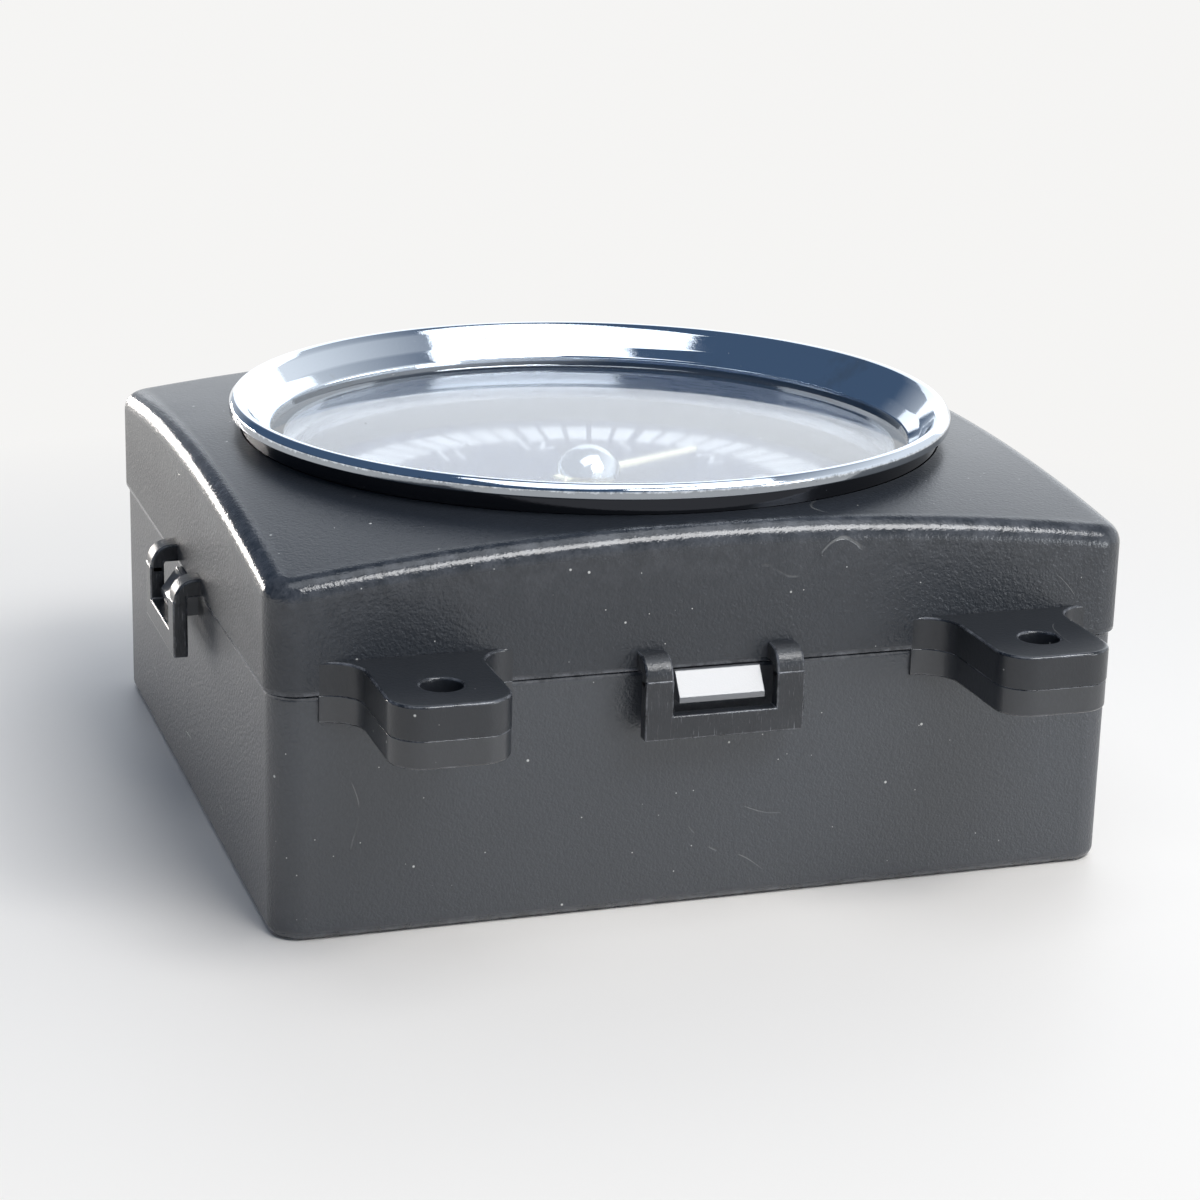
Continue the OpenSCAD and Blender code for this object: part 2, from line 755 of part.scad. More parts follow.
module cannon_pinion() {
    h = z_minute_hand + hand_t - z_minute_wheel;
    color("#c9a24a") translate([0, 0, z_minute_wheel]) difference() {
        union() {
            gear(cannon_n, motion_m1, wheel_t);
            cylinder(r = cannon_r, h = h);
        }
        translate([0, 0, -1]) cylinder(r = arbor_r, h = h + 2);
    }
}

module hour_wheel() {
    h = z_hour_hand + hand_t - z_hour_wheel;
    turn = mesh_turn(motion_a + 180, 0, minute_pinion_n, hour_n);
    color("#c9a24a") translate([0, 0, z_hour_wheel]) difference() {
        union() {
            rotate([0, 0, turn]) gear(hour_n, motion_m2, wheel_t);
            cylinder(r = hour_pipe_r, h = h);
        }
        translate([0, 0, -1]) cylinder(r = cannon_r + run_gap, h = h + 2);
    }
}

module minute_wheel() {
    h = z_hour_wheel + wheel_t - z_minute_wheel;
    color("#c9a24a") translate([post_at[0], post_at[1], z_minute_wheel]) difference() {
        union() {
            rotate([0, 0, mesh_turn(motion_a, 0, cannon_n, minute_n)])
                gear(minute_n, motion_m1, wheel_t * 0.9);
            gear(minute_pinion_n, motion_m2, h);
        }
        translate([0, 0, -1]) cylinder(r = post_r + run_gap, h = h + 2);
    }
}

module minute_post() {
    color("#9a9da1") translate([post_at[0], post_at[1], z_front_plate - plate_t])
        cylinder(r = post_r, h = plate_t + motion_gap - 0.1);
}

module intermediate_wheel() {
    pinion_h = 1.4;
    z_pinion = z_centre_wheel - 0.2;
    shoulder_r = 0.9;
    shoulder_h = 0.6;
    hub_top = z_front_plate - plate_t - end_shake;
    color("#c9a24a") translate([inter_at[0], inter_at[1], 0]) {
        translate([0, 0, z_base + shaft_inset])
            cylinder(r = pivot_r, h = z_front_plate - z_base - 2 * shaft_inset);
        translate([0, 0, z_inter_wheel]) gear(inter_n, train_m2, wheel_t);
        translate([0, 0, z_pinion])
            rotate([0, 0, mesh_turn(inter_a, 0, centre_n, inter_pinion_n)])
                gear(inter_pinion_n, train_m1, pinion_h);
        translate([0, 0, z_back_plate + end_shake]) cylinder(r = shoulder_r, h = shoulder_h);
        translate([0, 0, z_pinion]) cylinder(r = shoulder_r, h = hub_top - z_pinion);
    }
}

module rotor_shaft() {
    pinion_h = 1.4;
    shoulder_r = 0.9;
    shoulder_h = 0.5;
    hub_top = z_front_plate - plate_t - end_shake;
    color("#9a9da1") translate([rotor_at[0], rotor_at[1], 0]) {
        translate([0, 0, z_base + shaft_inset])
            cylinder(r = pivot_r, h = z_front_plate - z_base - 2 * shaft_inset);
        translate([0, 0, z_inter_wheel - 0.2]) rotate([0, 0, mesh_turn(rotor_a, 0, inter_n, rotor_n)])
            gear(rotor_n, train_m2, pinion_h);
        translate([0, 0, hub_top - shoulder_h]) cylinder(r = shoulder_r, h = shoulder_h);
    }
}

module rotor_magnet() {
    magnet_h = 2;
    color("#5a5d61") translate([rotor_at[0], rotor_at[1], z_back_plate + end_shake])
        tube(magnet_r, pivot_r, magnet_h);
}

// Horseshoe lamination round the rotor
module stator() {
    x0 = coil_x - arm_x - stator_arm_w / 2;
    w = 2 * arm_x + stator_arm_w;
    y0 = coil_y - stator_arm_w / 2;
    y1 = inter_at[1] + 3.4;
    yoke_y = rotor_at[1] - magnet_r - magnet_gap - 1.6;
    arbor_gap = 0.7;
    color("#8d9094") translate([0, 0, z_stator]) linear_extrude(stator_t) difference() {
        translate([x0, y0]) square([w, y1 - y0]);
        translate([x0 + stator_arm_w, y0 - 1]) square([w - 2 * stator_arm_w, yoke_y - y0 + 1]);
        translate(rotor_at) circle(magnet_r + magnet_gap);
        translate(inter_at) circle(pivot_r + arbor_gap);
        for (i = [0, 1]) translate(stator_feet[i]) circle(small_hole_r);
    }
}

module stator_screws() {
    color("#b9bcc0") for (i = [0, 1])
        translate([stator_feet[i][0], stator_feet[i][1], z_core + core_t]) mirror([0, 0, 1])
            screw(small_hole_r - screw_fit, 0.85, 0.7, core_t + stator_t + stator_lift + plate_t / 2);
}

module coil_core() {
    span = 2 * arm_x + stator_arm_w - 0.4;
    color("#8d9094") difference() {
        translate([coil_x - span / 2, coil_y - core_w / 2, z_core]) cube([span, core_w, core_t]);
        for (i = [0, 1]) translate([stator_feet[i][0], stator_feet[i][1], z_core - 1])
            cylinder(r = small_hole_r, h = core_t + 2);
    }
}

// Spool that lies along X
module coil_bobbin() {
    color("#d8c9a0") difference() {
        translate([coil_x, coil_y, z_coil]) rotate([0, 90, 0]) {
            translate([0, 0, -coil_half]) cylinder(r = spool_r, h = 2 * coil_half);
            for (s = [-1, 1]) translate([0, 0, s * (coil_half - flange_t / 2)])
                cylinder(r = flange_r, h = flange_t, center = true);
        }
        translate([coil_x, coil_y, z_coil])
            cube([2 * coil_half + 2, core_w + 2 * core_fit, core_t + 2 * core_fit], center = true);
        terminal_holes(terminal_r, z_coil - flange_r + terminal_bite);
    }
}

// Bores for the two terminals, up to a height
module terminal_holes(r, top) {
    for (s = [-1, 1])
        translate([coil_x + s * (coil_half - flange_t / 2), coil_y, z_board - 2])
            cylinder(r = r, h = top - z_board + 2);
}

module coil_winding() {
    color("#a8552c") translate([coil_x - coil_len / 2, coil_y, z_coil]) rotate([0, 90, 0])
        tube(winding_r, spool_r, coil_len);
}

module coil_terminals() {
    stub = 0.8;
    top = z_coil - flange_r + terminal_bite;
    color("#c8cacc") for (s = [-1, 1])
        translate([coil_x + s * (coil_half - flange_t / 2), coil_y, z_board - stub])
            cylinder(r = terminal_r, h = top - z_board + stub);
}

// Outline shared by both movement plates
module plate_outline() {
    w = pillar_x1 - pillar_x0 + 2 * plate_margin;
    d = pillar_y1 - pillar_y0 + 2 * plate_margin;
    translate([(pillar_x0 + pillar_x1) / 2, (pillar_y0 + pillar_y1) / 2]) rounded(w, d, plate_corner_r);
}

// Holes that both plates share: three pivots and four screws
module plate_holes(z) {
    translate([0, 0, z]) {
        cylinder(r = arbor_r + run_gap, h = plate_t + 2);
        for (p = [inter_at, rotor_at])
            translate([p[0], p[1], 0]) cylinder(r = pivot_r + run_gap, h = plate_t + 2);
    }
    on_pillars(z) cylinder(r = small_r + screw_fit, h = plate_t + 2);
}

module movement_front_plate() {
    z0 = z_front_plate - plate_t;
    color("#b9bec4") difference() {
        translate([0, 0, z0]) linear_extrude(plate_t) plate_outline();
        plate_holes(z0 - 1);
        translate([post_at[0], post_at[1], z0 - 1]) cylinder(r = post_r, h = plate_t + 2);
    }
}

module movement_back_plate() {
    color("#b9bec4") difference() {
        union() {
            translate([0, 0, z_base]) linear_extrude(plate_t) plate_outline();
            for (p = stator_feet) translate([p[0], p[1], z_back_plate - eps])
                cylinder(r = stator_foot_r, h = stator_lift + eps);
        }
        plate_holes(z_base - 1);
        terminal_holes(terminal_r + 0.4, z_back_plate + 1);
        for (i = [0, 1]) translate([stator_feet[i][0], stator_feet[i][1], z_base - 1])
            cylinder(r = small_hole_r, h = plate_t + stator_lift + 2);
    }
}

module movement_pillars() {
    color("#c9a24a") on_pillars(z_back_plate) tube(pillar_r, small_r + screw_fit, plate_gap);
}

module circuit_board() {
    board_corner_r = 1;
    color("#2f6b3c") difference() {
        translate([0, 0, z_board]) linear_extrude(board_t) rounded(board_w, board_d, board_corner_r);
        corners(boss_x, boss_y) translate([0, 0, z_board - 1])
            cylinder(r = screw_r + screw_clear, h = board_t + 2);
        terminal_holes(terminal_r + 0.05, z_board_top + 1);
        for_pins() translate([0, 0, z_board - 1]) cylinder(r = pin_w * 0.75, h = board_t + 2);
    }
}

module controller_chip() {
    lead_w = 0.4;
    lead_out = 1;
    lead_n = 8;
    lead_pitch = 1.2;
    lead_h = 0.5;
    color("#1a1a1c") translate([chip_at[0], chip_at[1], z_board_top]) {
        translate([-chip_size[0] / 2, -chip_size[1] / 2, 0]) cube(chip_size);
        for (i = [0 : lead_n - 1])
            translate([(i - (lead_n - 1) / 2) * lead_pitch - lead_w / 2, -chip_size[1] / 2 - lead_out, 0])
                cube([lead_w, chip_size[1] + 2 * lead_out, lead_h]);
    }
}

// Metal can with round ends
module quartz_crystal() {
    r = crystal_size[1] / 2;
    color("#c8cacc") translate([crystal_at[0], crystal_at[1], z_board_top])
        linear_extrude(crystal_size[2]) {
            square([crystal_size[0] - 2 * r, 2 * r], center = true);
            for (s = [-1, 1]) translate([s * (crystal_size[0] / 2 - r), 0]) circle(r);
        }
}

module capacitor() {
    color("#27344f") translate([cap_at[0], cap_at[1], z_board_top])
        cylinder(r = cap_body_r, h = cap_body_h);
}

module chip_resistors() {
    color("#222222") for (i = [0 : resistor_n - 1])
        translate([resistor_at[0] - resistor_size[0] / 2, resistor_at[1] + i * resistor_pitch, z_board_top])
            cube(resistor_size);
}

module dial_leds() {
    color("#f3ead0") for (s = [-1, 1])
        translate([s * leg_x - led_size[0] / 2, -led_size[1] / 2, z_board_top])
            cube([led_size[0], led_size[1], led_h]);
}

// Two rows of three pins
module for_pins() {
    for (x = [-1 : 1], y = [-0.5, 0.5])
        translate([x * pin_pitch_x, socket_y + y * pin_pitch_y, 0]) children();
}

module connector_socket() {
    h = z_board - socket_mouth;
    color("#e8e6dc") difference() {
        translate([-socket_w / 2, socket_y - socket_d / 2, socket_mouth]) cube([socket_w, socket_d, h]);
        translate([-socket_w / 2 + socket_t, socket_y - socket_d / 2 + socket_t, -1])
            cube([socket_w - 2 * socket_t, socket_d - 2 * socket_t, z_board - socket_roof + 1]);
        for_pins() translate([-pin_w / 2, -pin_w / 2, 0]) cube([pin_w, pin_w, z_board + 1]);
    }
}

module connector_pins() {
    color("#c9b06a") for_pins() translate([-pin_w / 2, -pin_w / 2, pin_tip])
        cube([pin_w, pin_w, z_board_top + pin_stub - pin_tip]);
}

front_housing();
rear_housing();
bezel_ring();
lens();
lens_gasket();
dial_ring();
dial();
light_guide();
dial_carrier();
carrier_screws();
minute_hand();
hour_hand();
hand_cap();
centre_arbor();
centre_wheel();
cannon_pinion();
hour_wheel();
minute_wheel();
minute_post();
intermediate_wheel();
rotor_shaft();
rotor_magnet();
stator();
stator_screws();
coil_core();
coil_bobbin();
coil_winding();
coil_terminals();
movement_front_plate();
movement_back_plate();
movement_pillars();
movement_screws();
circuit_board();
board_screws();
controller_chip();
quartz_crystal();
capacitor();
chip_resistors();
dial_leds();
connector_socket();
connector_pins();
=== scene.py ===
"""Looks of the dashboard clock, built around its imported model."""

import math

import bmesh
import bpy
from mathutils import Matrix, Vector


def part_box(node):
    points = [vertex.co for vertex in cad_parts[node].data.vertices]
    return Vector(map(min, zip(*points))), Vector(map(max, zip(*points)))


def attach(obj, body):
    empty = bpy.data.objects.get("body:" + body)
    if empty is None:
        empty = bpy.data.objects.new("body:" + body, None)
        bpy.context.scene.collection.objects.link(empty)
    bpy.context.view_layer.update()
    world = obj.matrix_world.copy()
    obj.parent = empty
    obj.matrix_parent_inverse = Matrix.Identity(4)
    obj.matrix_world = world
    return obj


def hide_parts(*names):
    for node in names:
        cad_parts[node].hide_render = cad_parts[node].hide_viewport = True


bl_info = {
    "name": "Dashboard clock",
    "version": (1, 0, 0),
    "blender": (4, 5, 0),
    "location": "View3D > Sidebar > Clock",
    "description": "Builds the visible pieces, finishes and studio of a dashboard clock",
    "category": "Object",
}

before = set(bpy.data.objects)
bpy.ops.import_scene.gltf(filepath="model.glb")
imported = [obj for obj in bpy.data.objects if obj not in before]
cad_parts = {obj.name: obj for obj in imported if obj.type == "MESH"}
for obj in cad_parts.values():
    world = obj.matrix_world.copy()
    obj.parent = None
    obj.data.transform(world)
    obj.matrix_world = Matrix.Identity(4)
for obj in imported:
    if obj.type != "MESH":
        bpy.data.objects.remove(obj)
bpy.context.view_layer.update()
MM = 0.001

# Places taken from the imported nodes, so that they follow the model
BEZEL_LOW, BEZEL_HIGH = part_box("bezel_ring")
LENS_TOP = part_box("lens")[1].z
DIAL_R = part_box("dial")[1].x
DIAL_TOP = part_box("dial")[1].z

# The case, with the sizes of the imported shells
HALF_W = 40.0 * MM
HALF_D = 37.5 * MM
STEP = 0.3 * MM
CORNER_R = 3.0 * MM
WALL_T = 2.5 * MM
PART_Z = 22.5 * MM
PART_GAP = 0.15 * MM
CROWN_Z = 37.6 * MM
DOME_R = 274.0 * MM
DOME_MID = Vector((0, 0, CROWN_Z - DOME_R))
FILLET_R = 2.0 * MM
BOSS_X = 33.6 * MM
BOSS_Y = 31.1 * MM
BOSS_R = 3.0 * MM
FRONT_BOSSES = (PART_Z + 1.0 * MM, PART_Z + 10.0 * MM)
REAR_BOSSES = (WALL_T - 1.0 * MM, WALL_T + 5.0 * MM)
SOCKET_GAP = 0.3 * MM

# The locating lip of the rear shell
LIP_GAP = 0.1 * MM
LIP_R = 2.0 * MM
LIP_T = 1.1 * MM
LIP_H = 1.8 * MM
LIP_ROOT = 2.0 * MM
LIP_EDGE = 0.2 * MM

# The bezel and the opening around its neck
NECK_R = BEZEL_HIGH.x - 1.1 * MM
NECK_T = 1.3 * MM
LENS_LAP = 1.6 * MM
RIM_H = 1.35 * MM
RIM_SIDE = 0.5 * MM
RIM_ROLL = 0.45 * MM
RIM_CREST = 0.95 * MM
RIM_THICK = 1.5 * MM
RIM_EDGE = 0.16 * MM
COVE_OUT = 1.2 * MM
COVE_TOP = 1.5 * MM
COVE_LOW = 0.5 * MM
MOUTH_GAP = 0.1 * MM
COLLAR_T = 1.5 * MM
LEDGE_T = 1.5 * MM
RING_GAP = 0.3 * MM

# The mounting tabs
TAB_X = 27.2 * MM
TAB_OUT = 13.3 * MM
TAB_HALF = 5.3 * MM
TAB_TOP = 25.5 * MM
TAB_LOW = 20.0 * MM
TAB_FLARE = 3.2 * MM
TAB_CORNER = 3.0 * MM
TAB_ROOT = 0.6 * MM
HOLE_OUT = 8.0 * MM
HOLE_R = 1.8 * MM

# The snap loops and the wedges inside them, measured from the parting line and the wall
LOOP_HALF = 7.4 * MM
LOOP_OUT = 2.7 * MM
LOOP_GAP = 1.3 * MM
LOOP_LOW = 5.7 * MM
BAR_DROP = 3.5 * MM
LEG_W = 2.6 * MM
LEDGE_DROP = 0.2 * MM
EAR_H = 1.8 * MM
EAR_R = 2.0 * MM
EAR_IN = 0.12 * MM
EAR_LAP = 0.8 * MM
WEDGE_HALF = 4.0 * MM
WEDGE_H = 2.7 * MM
WEDGE_OUT = 1.8 * MM
WEDGE_LIP = 0.5 * MM
WEDGE_TOP = 0.3 * MM
WEDGE_EDGE = 0.07 * MM
WEDGE_ROOT = 0.8 * MM

# Steps of the round stretches, and the layers of the shells' meshes that the plastic reads
SIDE_STEPS = 28
CORNER_STEPS = 10
FILLET_STEPS = 10
BEVEL_STEPS = 3
TURN_STEPS = 256
SMOOTH_BELOW = math.radians(32)
SHARP_ABOVE = math.radians(30)
LAYERS = ("worn", "tab", "catch", "wedge")
EDGE_WEAR = 0.8
FILLET_WEAR = 0.45

# The camera of the photograph: its place, the way it looks and its upright
CAMERA_AT = Vector((-0.08920409, -0.27214252, 0.10463482))
CAMERA_LOOK = Vector((0.30262473, 0.90742195, -0.29155389))
CAMERA_UP = Vector((0.06766817, 0.28466996, 0.9562343))


class CASE_sizes(bpy.types.PropertyGroup):
    """Edges and finish of the case"""
    edge: bpy.props.FloatProperty(
        name="Edge softness", description="Width of the small bevel on the case's moulded edges",
        default=0.24 * MM, min=0.0, unit="LENGTH")
    foot_edge: bpy.props.FloatProperty(
        name="Back edge", description="Width of the bevel around the back face", default=0.9 * MM, min=0.0,
        unit="LENGTH")
    part_edge: bpy.props.FloatProperty(
        name="Parting edge", description="Width of the bevel along the parting line",
        default=0.1 * MM, min=0.0, unit="LENGTH")
    grain: bpy.props.FloatProperty(
        name="Grain size", description="Size of the moulded grain", default=0.4 * MM, min=0.0, unit="LENGTH")
    # Painted light: the rear shell's colour is the front shell's made paler by this factor
    back_shade: bpy.props.FloatProperty(
        name="Rear shade", description="How much paler the rear shell is than the front shell",
        default=1.25, min=0.1)
    shine: bpy.props.FloatProperty(
        name="Shine", description="Specular level of the front shell; the rear shell has half as much again",
        default=0.64, min=0.0, max=0.66)
    colour: bpy.props.FloatVectorProperty(
        name="Plastic colour", description="Colour of the front shell", subtype="COLOR", size=3,
        default=(0.023, 0.027, 0.034), min=0.0, max=1.0)


class DIAL_sizes(bpy.types.PropertyGroup):
    """Print and colour of the dial"""
    track_out: bpy.props.FloatProperty(
        name="Track radius", description="Outer radius of the minute track", default=26.4 * MM, unit="LENGTH")
    track_in: bpy.props.FloatProperty(
        name="Track inner radius", description="Inner radius of the minute track", default=21.2 * MM,
        unit="LENGTH")
    numeral_r: bpy.props.FloatProperty(
        name="Numeral radius", description="Distance of the numerals from the middle", default=18.8 * MM,
        unit="LENGTH")
    numeral_size: bpy.props.FloatProperty(
        name="Numeral size", description="Height of the numerals", default=4.0 * MM, unit="LENGTH")
    print_t: bpy.props.FloatProperty(
        name="Print thickness", description="Thickness of the printed marks", default=0.03 * MM,
        unit="LENGTH")
    colour: bpy.props.FloatVectorProperty(
        name="Dial colour", description="Colour of the dial", subtype="COLOR", size=3,
        default=(0.03, 0.045, 0.1), min=0.0, max=1.0)


class STUDIO_sizes(bpy.types.PropertyGroup):
    """Lens of the camera and powers of the lights"""
    lens: bpy.props.FloatProperty(
        name="Focal length", description="Focal length of the camera in millimetres", default=89.96, min=10.0)
    key: bpy.props.FloatProperty(
        name="Key light", description="Power of the small soft light above the front", default=2.6, min=0.0)
    top: bpy.props.FloatProperty(
        name="Top light", description="Power of the broad soft light above", default=1.7, min=0.0)
    back: bpy.props.FloatProperty(
        name="Back light", description="Power of the broad soft light behind", default=4.0, min=0.0)
    side: bpy.props.FloatProperty(
        name="Side light", description="Power of the low light at the front right", default=0.4, min=0.0)
    left: bpy.props.FloatProperty(
        name="Left light", description="Power of the low warm light behind the left wall", default=4.4,
        min=0.0)


def nodes_of(name):
    """A new material with its node tree, its shader and its object coordinates"""
    mat = bpy.data.materials.new(name)
    mat.use_nodes = True
    tree = mat.node_tree
    shader = tree.nodes["Principled BSDF"]
    coord = tree.nodes.new("ShaderNodeTexCoord")
    return mat, tree, shader, coord.outputs["Object"]


def noise(tree, place, size, detail=3.0, rough=0.55):
    """Noise whose features are about the given size in metres"""
    n = tree.nodes.new("ShaderNodeTexNoise")
    n.inputs["Scale"].default_value = 1.0 / size
    n.inputs["Detail"].default_value = detail
    n.inputs["Roughness"].default_value = rough
    tree.links.new(place, n.inputs["Vector"])
    return n.outputs["Fac"]


def ramp(tree, value, low, high, start=0.0, end=1.0):
    """Value mapped from low..high to start..end, held at the ends"""
    r = tree.nodes.new("ShaderNodeMapRange")
    for key, number in (("From Min", low), ("From Max", high), ("To Min", start), ("To Max", end)):
        r.inputs[key].default_value = number
    tree.links.new(value, r.inputs["Value"])
    return r.outputs["Result"]


def maths(tree, kind, a, b):
    """One maths node on two sockets or numbers"""
    m = tree.nodes.new("ShaderNodeMath")
    m.operation = kind
    for socket, value in zip(m.inputs, (a, b)):
        if isinstance(value, (int, float)):
            socket.default_value = value
        else:
            tree.links.new(value, socket)
    return m.outputs["Value"]


def times(tree, a, b):
    """Product of two values"""
    return maths(tree, "MULTIPLY", a, b)


def plus(tree, a, b):
    """Sum of two values"""
    return maths(tree, "ADD", a, b)


def minus(tree, a, b):
    """Difference of two values"""
    return maths(tree, "SUBTRACT", a, b)


def most(tree, a, b):
    """Larger of two values"""
    return maths(tree, "MAXIMUM", a, b)


def least(tree, a, b):
    """Smaller of two values"""
    return maths(tree, "MINIMUM", a, b)


def blend_colour(tree, share, a, b):
    """Colour between a and b by a share"""
    m = tree.nodes.new("ShaderNodeMix")
    m.data_type = "RGBA"
    tree.links.new(share, m.inputs["Factor"])
    for socket, value in ((m.inputs[6], a), (m.inputs[7], b)):
        if isinstance(value, bpy.types.NodeSocket):
            tree.links.new(value, socket)
        else:
            socket.default_value = (*value, 1.0)
    return m.outputs[2]


def bump(tree, shader, height, depth, strength=1.0):
    """Bump of the given depth in metres on a shader"""
    b = tree.nodes.new("ShaderNodeBump")
    b.inputs["Distance"].default_value = depth
    b.inputs["Strength"].default_value = strength
    tree.links.new(height, b.inputs["Height"])
    tree.links.new(b.outputs["Normal"], shader.inputs["Normal"])


def specks(tree, place, size, share):
    """Sparse round specks, as dust or pits, one in the given share of cells"""
    v = tree.nodes.new("ShaderNodeTexVoronoi")
    v.inputs["Scale"].default_value = 1.0 / size
    tree.links.new(place, v.inputs["Vector"])
    dot = ramp(tree, v.outputs["Distance"], 0.05, 0.09, 1.0, 0.0)
    pick = tree.nodes.new("ShaderNodeSeparateColor")
    tree.links.new(v.outputs["Color"], pick.inputs["Color"])
    return times(tree, dot, maths(tree, "GREATER_THAN", pick.outputs["Red"], 1.0 - share))


def attribute(tree, name):
    """Value of a vertex layer"""
    a = tree.nodes.new("ShaderNodeAttribute")
    a.attribute_name = name
    return a.outputs["Fac"]


def hairs(tree, place, size, width):
    """A few thin curved lines, as hair scratches and fibres"""
    warp = tree.nodes.new("ShaderNodeTexNoise")
    warp.inputs["Scale"].default_value = 1.0 / size
    tree.links.new(place, warp.inputs["Vector"])
    bend = tree.nodes.new("ShaderNodeVectorMath")
    bend.operation = "MULTIPLY_ADD"
    tree.links.new(warp.outputs["Color"], bend.inputs[0])
    bend.inputs[1].default_value = (size, size, size)
    tree.links.new(place, bend.inputs[2])
    lines = tree.nodes.new("ShaderNodeTexVoronoi")
    lines.feature = "DISTANCE_TO_EDGE"
    lines.inputs["Scale"].default_value = 1.0 / size
    tree.links.new(bend.outputs["Vector"], lines.inputs["Vector"])
    thin = ramp(tree, lines.outputs["Distance"], width * 0.5 / size, width / size, 1.0, 0.0)
    return times(tree, thin, ramp(tree, noise(tree, place, size * 0.45), 0.62, 0.66))


def shell_calm(tree, marks):
    """How much grain is missing: some on the tabs, catches, top and rounded edge, all on the wedges"""
    geometry = tree.nodes.new("ShaderNodeNewGeometry")
    up = tree.nodes.new("ShaderNodeSeparateXYZ")
    tree.links.new(geometry.outputs["True Normal"], up.inputs["Vector"])
    top = ramp(tree, up.outputs["Z"], 0.75, 0.99)
    fillet = least(tree, marks["worn"], FILLET_WEAR)
    calm = marks["wedge"]
    for mark, share in ((marks["tab"], 0.75), (marks["catch"], 0.55), (top, 0.5), (fillet, 1.5)):
        calm = most(tree, calm, times(tree, mark, share))
    return calm


def shell_height(tree, place, case, marks, calm, cell, drawn, scratch):
    """Height of the grain, with a fine texture all over, draw marks on the catches, and scratches"""
    grain = noise(tree, place, case.grain * 0.5, 1.0, 0.5)
    height = plus(tree, grain, times(tree, cell, 0.8))
    height = times(tree, height, minus(tree, 1.0, calm))
    height = plus(tree, height, times(tree, noise(tree, place, 0.16 * MM, 3.0, 0.6), 0.16))
    height = plus(tree, height, times(tree, times(tree, marks["catch"], drawn), 0.5))
    return minus(tree, height, scratch)


def shell_colour(tree, place, colour, marks, drift, cell, drawn, rub, scratch):
    """Drifting black, darker in the grain, with painted shade on the tabs and catches, a painted highlight on
    the wedges, and rubbed, chalky and dusty places
    """
    base = blend_colour(tree, ramp(tree, drift, 0.35, 0.7), tuple(0.92 * c for c in colour),
                        tuple(1.1 * c for c in colour))
    peak = ramp(tree, cell, 0.25, 0.75, 1.12, 0.85)
    base = blend_colour(tree, minus(tree, 1.12, peak), base, tuple(0.4 * c for c in colour))
    chalk = times(tree, marks["catch"], ramp(tree, drawn, 0.6, 0.72))
    # Painted shade: the tabs and catches are darkened towards near black
    fittings_painted_shade = most(tree, marks["tab"], marks["catch"])
    dust = most(tree, specks(tree, place, 1.7 * MM, 0.1), specks(tree, place, 0.8 * MM, 0.07))
    # The last blend is a painted highlight: the whole wedges are lightened to a mid grey
    for mark, share, tone in ((fittings_painted_shade, 0.5, (0.008, 0.009, 0.011)), (rub, 0.5, (0.3, 0.31, 0.34)),
                              (chalk, 0.35, (0.3, 0.31, 0.33)), (marks["wedge"], 1.0, (0.16, 0.165, 0.175))):
        base = blend_colour(tree, times(tree, mark, share), base, tone)
    return blend_colour(tree, most(tree, dust, times(tree, scratch, 0.2)), base, (0.55, 0.55, 0.53))


def shell_plastic(name, colour, shine, case):
    """Grained black moulding: rough walls, a smoother top, tabs and catches, dust and rubbed edges"""
    mat, tree, shader, place = nodes_of(name)
    marks = {key: attribute(tree, key) for key in LAYERS}
    calm = shell_calm(tree, marks)
    voronoi = tree.nodes.new("ShaderNodeTexVoronoi")
    voronoi.feature = "SMOOTH_F1"
    voronoi.inputs["Scale"].default_value = 1.0 / (case.grain * 0.9)
    tree.links.new(place, voronoi.inputs["Vector"])
    cell = voronoi.outputs["Distance"]
    drawn = noise(tree, stretched(tree, place, (0.15 * MM, 0.15 * MM, 1.6 * MM)), 1.0, 3.0, 0.6)
    scratch = hairs(tree, place, 23 * MM, 0.07 * MM)
    bump(tree, shader, shell_height(tree, place, case, marks, calm, cell, drawn, scratch), 0.045 * MM)
    drift = noise(tree, place, 26 * MM, 3.0, 0.5)
    rub = times(tree, marks["worn"], ramp(tree, noise(tree, place, 2.2 * MM, 5.0, 0.72), 0.42, 0.66))
    base = shell_colour(tree, place, colour, marks, drift, cell, drawn, rub, scratch)
    tree.links.new(base, shader.inputs["Base Color"])
    rough = ramp(tree, drift, 0.3, 0.75, 0.33, 0.39)
    fillet = least(tree, marks["worn"], FILLET_WEAR)
    for mark, share in ((calm, 0.06), (rub, 0.1), (marks["wedge"], 0.1), (fillet, 0.42)):
        rough = minus(tree, rough, times(tree, mark, share))
    tree.links.new(rough, shader.inputs["Roughness"])
    shader.inputs["Specular IOR Level"].default_value = shine
    return mat


def stretched(tree, place, sizes):
    """Coordinates divided by a size along each axis, for patterns drawn out one way"""
    m = tree.nodes.new("ShaderNodeVectorMath")
    m.operation = "DIVIDE"
    m.inputs[1].default_value = sizes
    tree.links.new(place, m.inputs[0])
    return m.outputs["Vector"]


def plain(name, colour, rough, metallic=0.0, size=1.2 * MM, depth=0.004 * MM, spread=0.18):
    """Material with drifting colour, roughness and a fine bump, for one colour of stuff"""
    mat, tree, shader, place = nodes_of(name)
    drift = noise(tree, place, size * 4)
    fine = noise(tree, place, size, 4.0, 0.65)
    base = blend_colour(tree, ramp(tree, drift, 0.3, 0.7), tuple(c * (1 - spread) for c in colour),
                        tuple(min(1.0, c * (1 + spread)) for c in colour))
    tree.links.new(base, shader.inputs["Base Color"])
    tree.links.new(ramp(tree, fine, 0.3, 0.7, rough * 0.8, rough * 1.25), shader.inputs["Roughness"])
    shader.inputs["Metallic"].default_value = metallic
    bump(tree, shader, fine, depth)
    return mat


